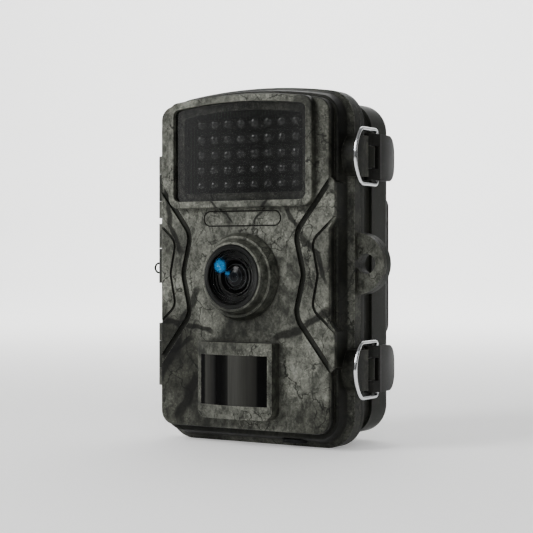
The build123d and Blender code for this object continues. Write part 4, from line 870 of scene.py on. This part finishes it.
def light_tent():
    """A world that is white above, behind and to the left and dark to the right.

    In front, near the horizon, stand upright panels with gaps between them.
    """
    world = bpy.data.worlds.new("studio")
    world.use_nodes = True
    tree = world.node_tree
    tree.nodes.clear()
    way = add(tree, "ShaderNodeTexCoord").outputs["Generated"]
    leftward = add(tree, "ShaderNodeVectorMath", {0: way, 1: (-0.80, 0.0, 0.60)},
                   operation="DOT_PRODUCT").outputs["Value"]
    sky = ramp(tree, band(tree, leftward, -0.75, 0.35), (0.0, "#3a3a3a"), (0.45, "#9a9a9a"),
               (1.0, "#ffffff"))
    parts = add(tree, "ShaderNodeSeparateXYZ", {0: way}).outputs
    sky = blend_of(tree, "MULTIPLY", band(tree, parts["Z"], 0.3, 0.85), sky, linear("#8a8a8a"))
    turned = math_of(tree, "ARCTAN2", parts["X"], math_of(tree, "MULTIPLY", parts["Y"], -1.0))
    share = math_of(tree, "DIVIDE", math_of(tree, "ADD", turned, PANELS_FROM), PANELS_SPAN)
    tent = ramp(tree, share, *PANELS)
    low = band(tree, math_of(tree, "ABSOLUTE", parts["Z"]), 0.2, 0.42, 1.0, 0.0)
    inside = math_of(tree, "MULTIPLY", band(tree, share, -0.02, 0.02),
                     band(tree, share, 0.98, 1.02, 1.0, 0.0))
    mixed = blend_of(tree, "MIX", math_of(tree, "MULTIPLY", low, inside), sky, tent)
    glow = add(tree, "ShaderNodeBackground", {"Color": mixed, "Strength": 1.25})
    add(tree, "ShaderNodeOutputWorld", {"Surface": glow.outputs["Background"]})
    return world


def main_camera():
    """A long lens, level with the case and about a third of a right angle round from its front."""
    lens = bpy.data.cameras.new("main_camera")
    lens.lens, lens.sensor_width, lens.shift_y = 100.2, 36.0, -0.0159
    camera = bpy.data.objects.new("main_camera", lens)
    bpy.context.scene.collection.objects.link(camera)
    camera.location = (0.3039, -0.498, 0.0707)
    camera.rotation_euler = (radians(90), 0.0, VIEW_TURN)
    return camera


class TRAILCAM_OT_stage(bpy.types.Operator):
    """Sets the camera, the pale sweep and the soft lights round the finished object"""

    bl_idname = "trailcam.stage"
    bl_label = "Stage"

    def execute(self, context):
        looks = context.scene.trail_camera_looks
        sweep = paper_sweep(looks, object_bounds()[0].z)
        context.scene.world = light_tent()
        case = (0.0, -0.01, 0.068)
        lights = [
            panel_light("key", (-0.50, -0.80, 0.62), case, 0.45, 0.45, looks.key_power),
            panel_light("strip_right", (0.55, -0.62, 0.55), case, 0.12, 0.5, 1.6, "#fbfdff"),
            panel_light("backdrop", (-0.4, 1.0, 1.3), (-1.0, 2.2, 0.3), 1.6, 1.6, 55.0),
            panel_light("floor_light", (-0.3, 0.9, 1.6), (-0.2, 0.55, 0.0), 1.2, 1.2, 9.0),
        ]
        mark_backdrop(sweep, *lights)
        context.scene.camera = main_camera()
        return {"FINISHED"}


STEPS = (TRAILCAM_OT_finishes, TRAILCAM_OT_lamps, TRAILCAM_OT_lens, TRAILCAM_OT_bails,
         TRAILCAM_OT_stage)


class TRAILCAM_PT_looks(bpy.types.Panel):
    """Lists the sizes, the colours and the steps"""

    bl_idname = "TRAILCAM_PT_looks"
    bl_label = "Trail Camera"
    bl_space_type = "VIEW_3D"
    bl_region_type = "UI"
    bl_category = "Trail Camera"

    def draw(self, context):
        for name in TrailCameraLooks.__annotations__:
            self.layout.prop(context.scene.trail_camera_looks, name)
        for step in STEPS:
            self.layout.operator(step.bl_idname)


CLASSES = (TrailCameraLooks, *STEPS, TRAILCAM_PT_looks)


def register():
    """Registers the classes and hangs the settings on the scene."""
    for kind in CLASSES:
        bpy.utils.register_class(kind)
    bpy.types.Scene.trail_camera_looks = bpy.props.PointerProperty(type=TrailCameraLooks)


def unregister():
    """Takes the settings and the classes away again."""
    del bpy.types.Scene.trail_camera_looks
    for kind in reversed(CLASSES):
        bpy.utils.unregister_class(kind)


def main():
    """Builds everything in order."""
    register()
    bpy.ops.trailcam.finishes()
    bpy.ops.trailcam.lamps()
    bpy.ops.trailcam.lens()
    bpy.ops.trailcam.bails()
    bpy.ops.trailcam.stage()


if __name__ == "__main__":
    main()
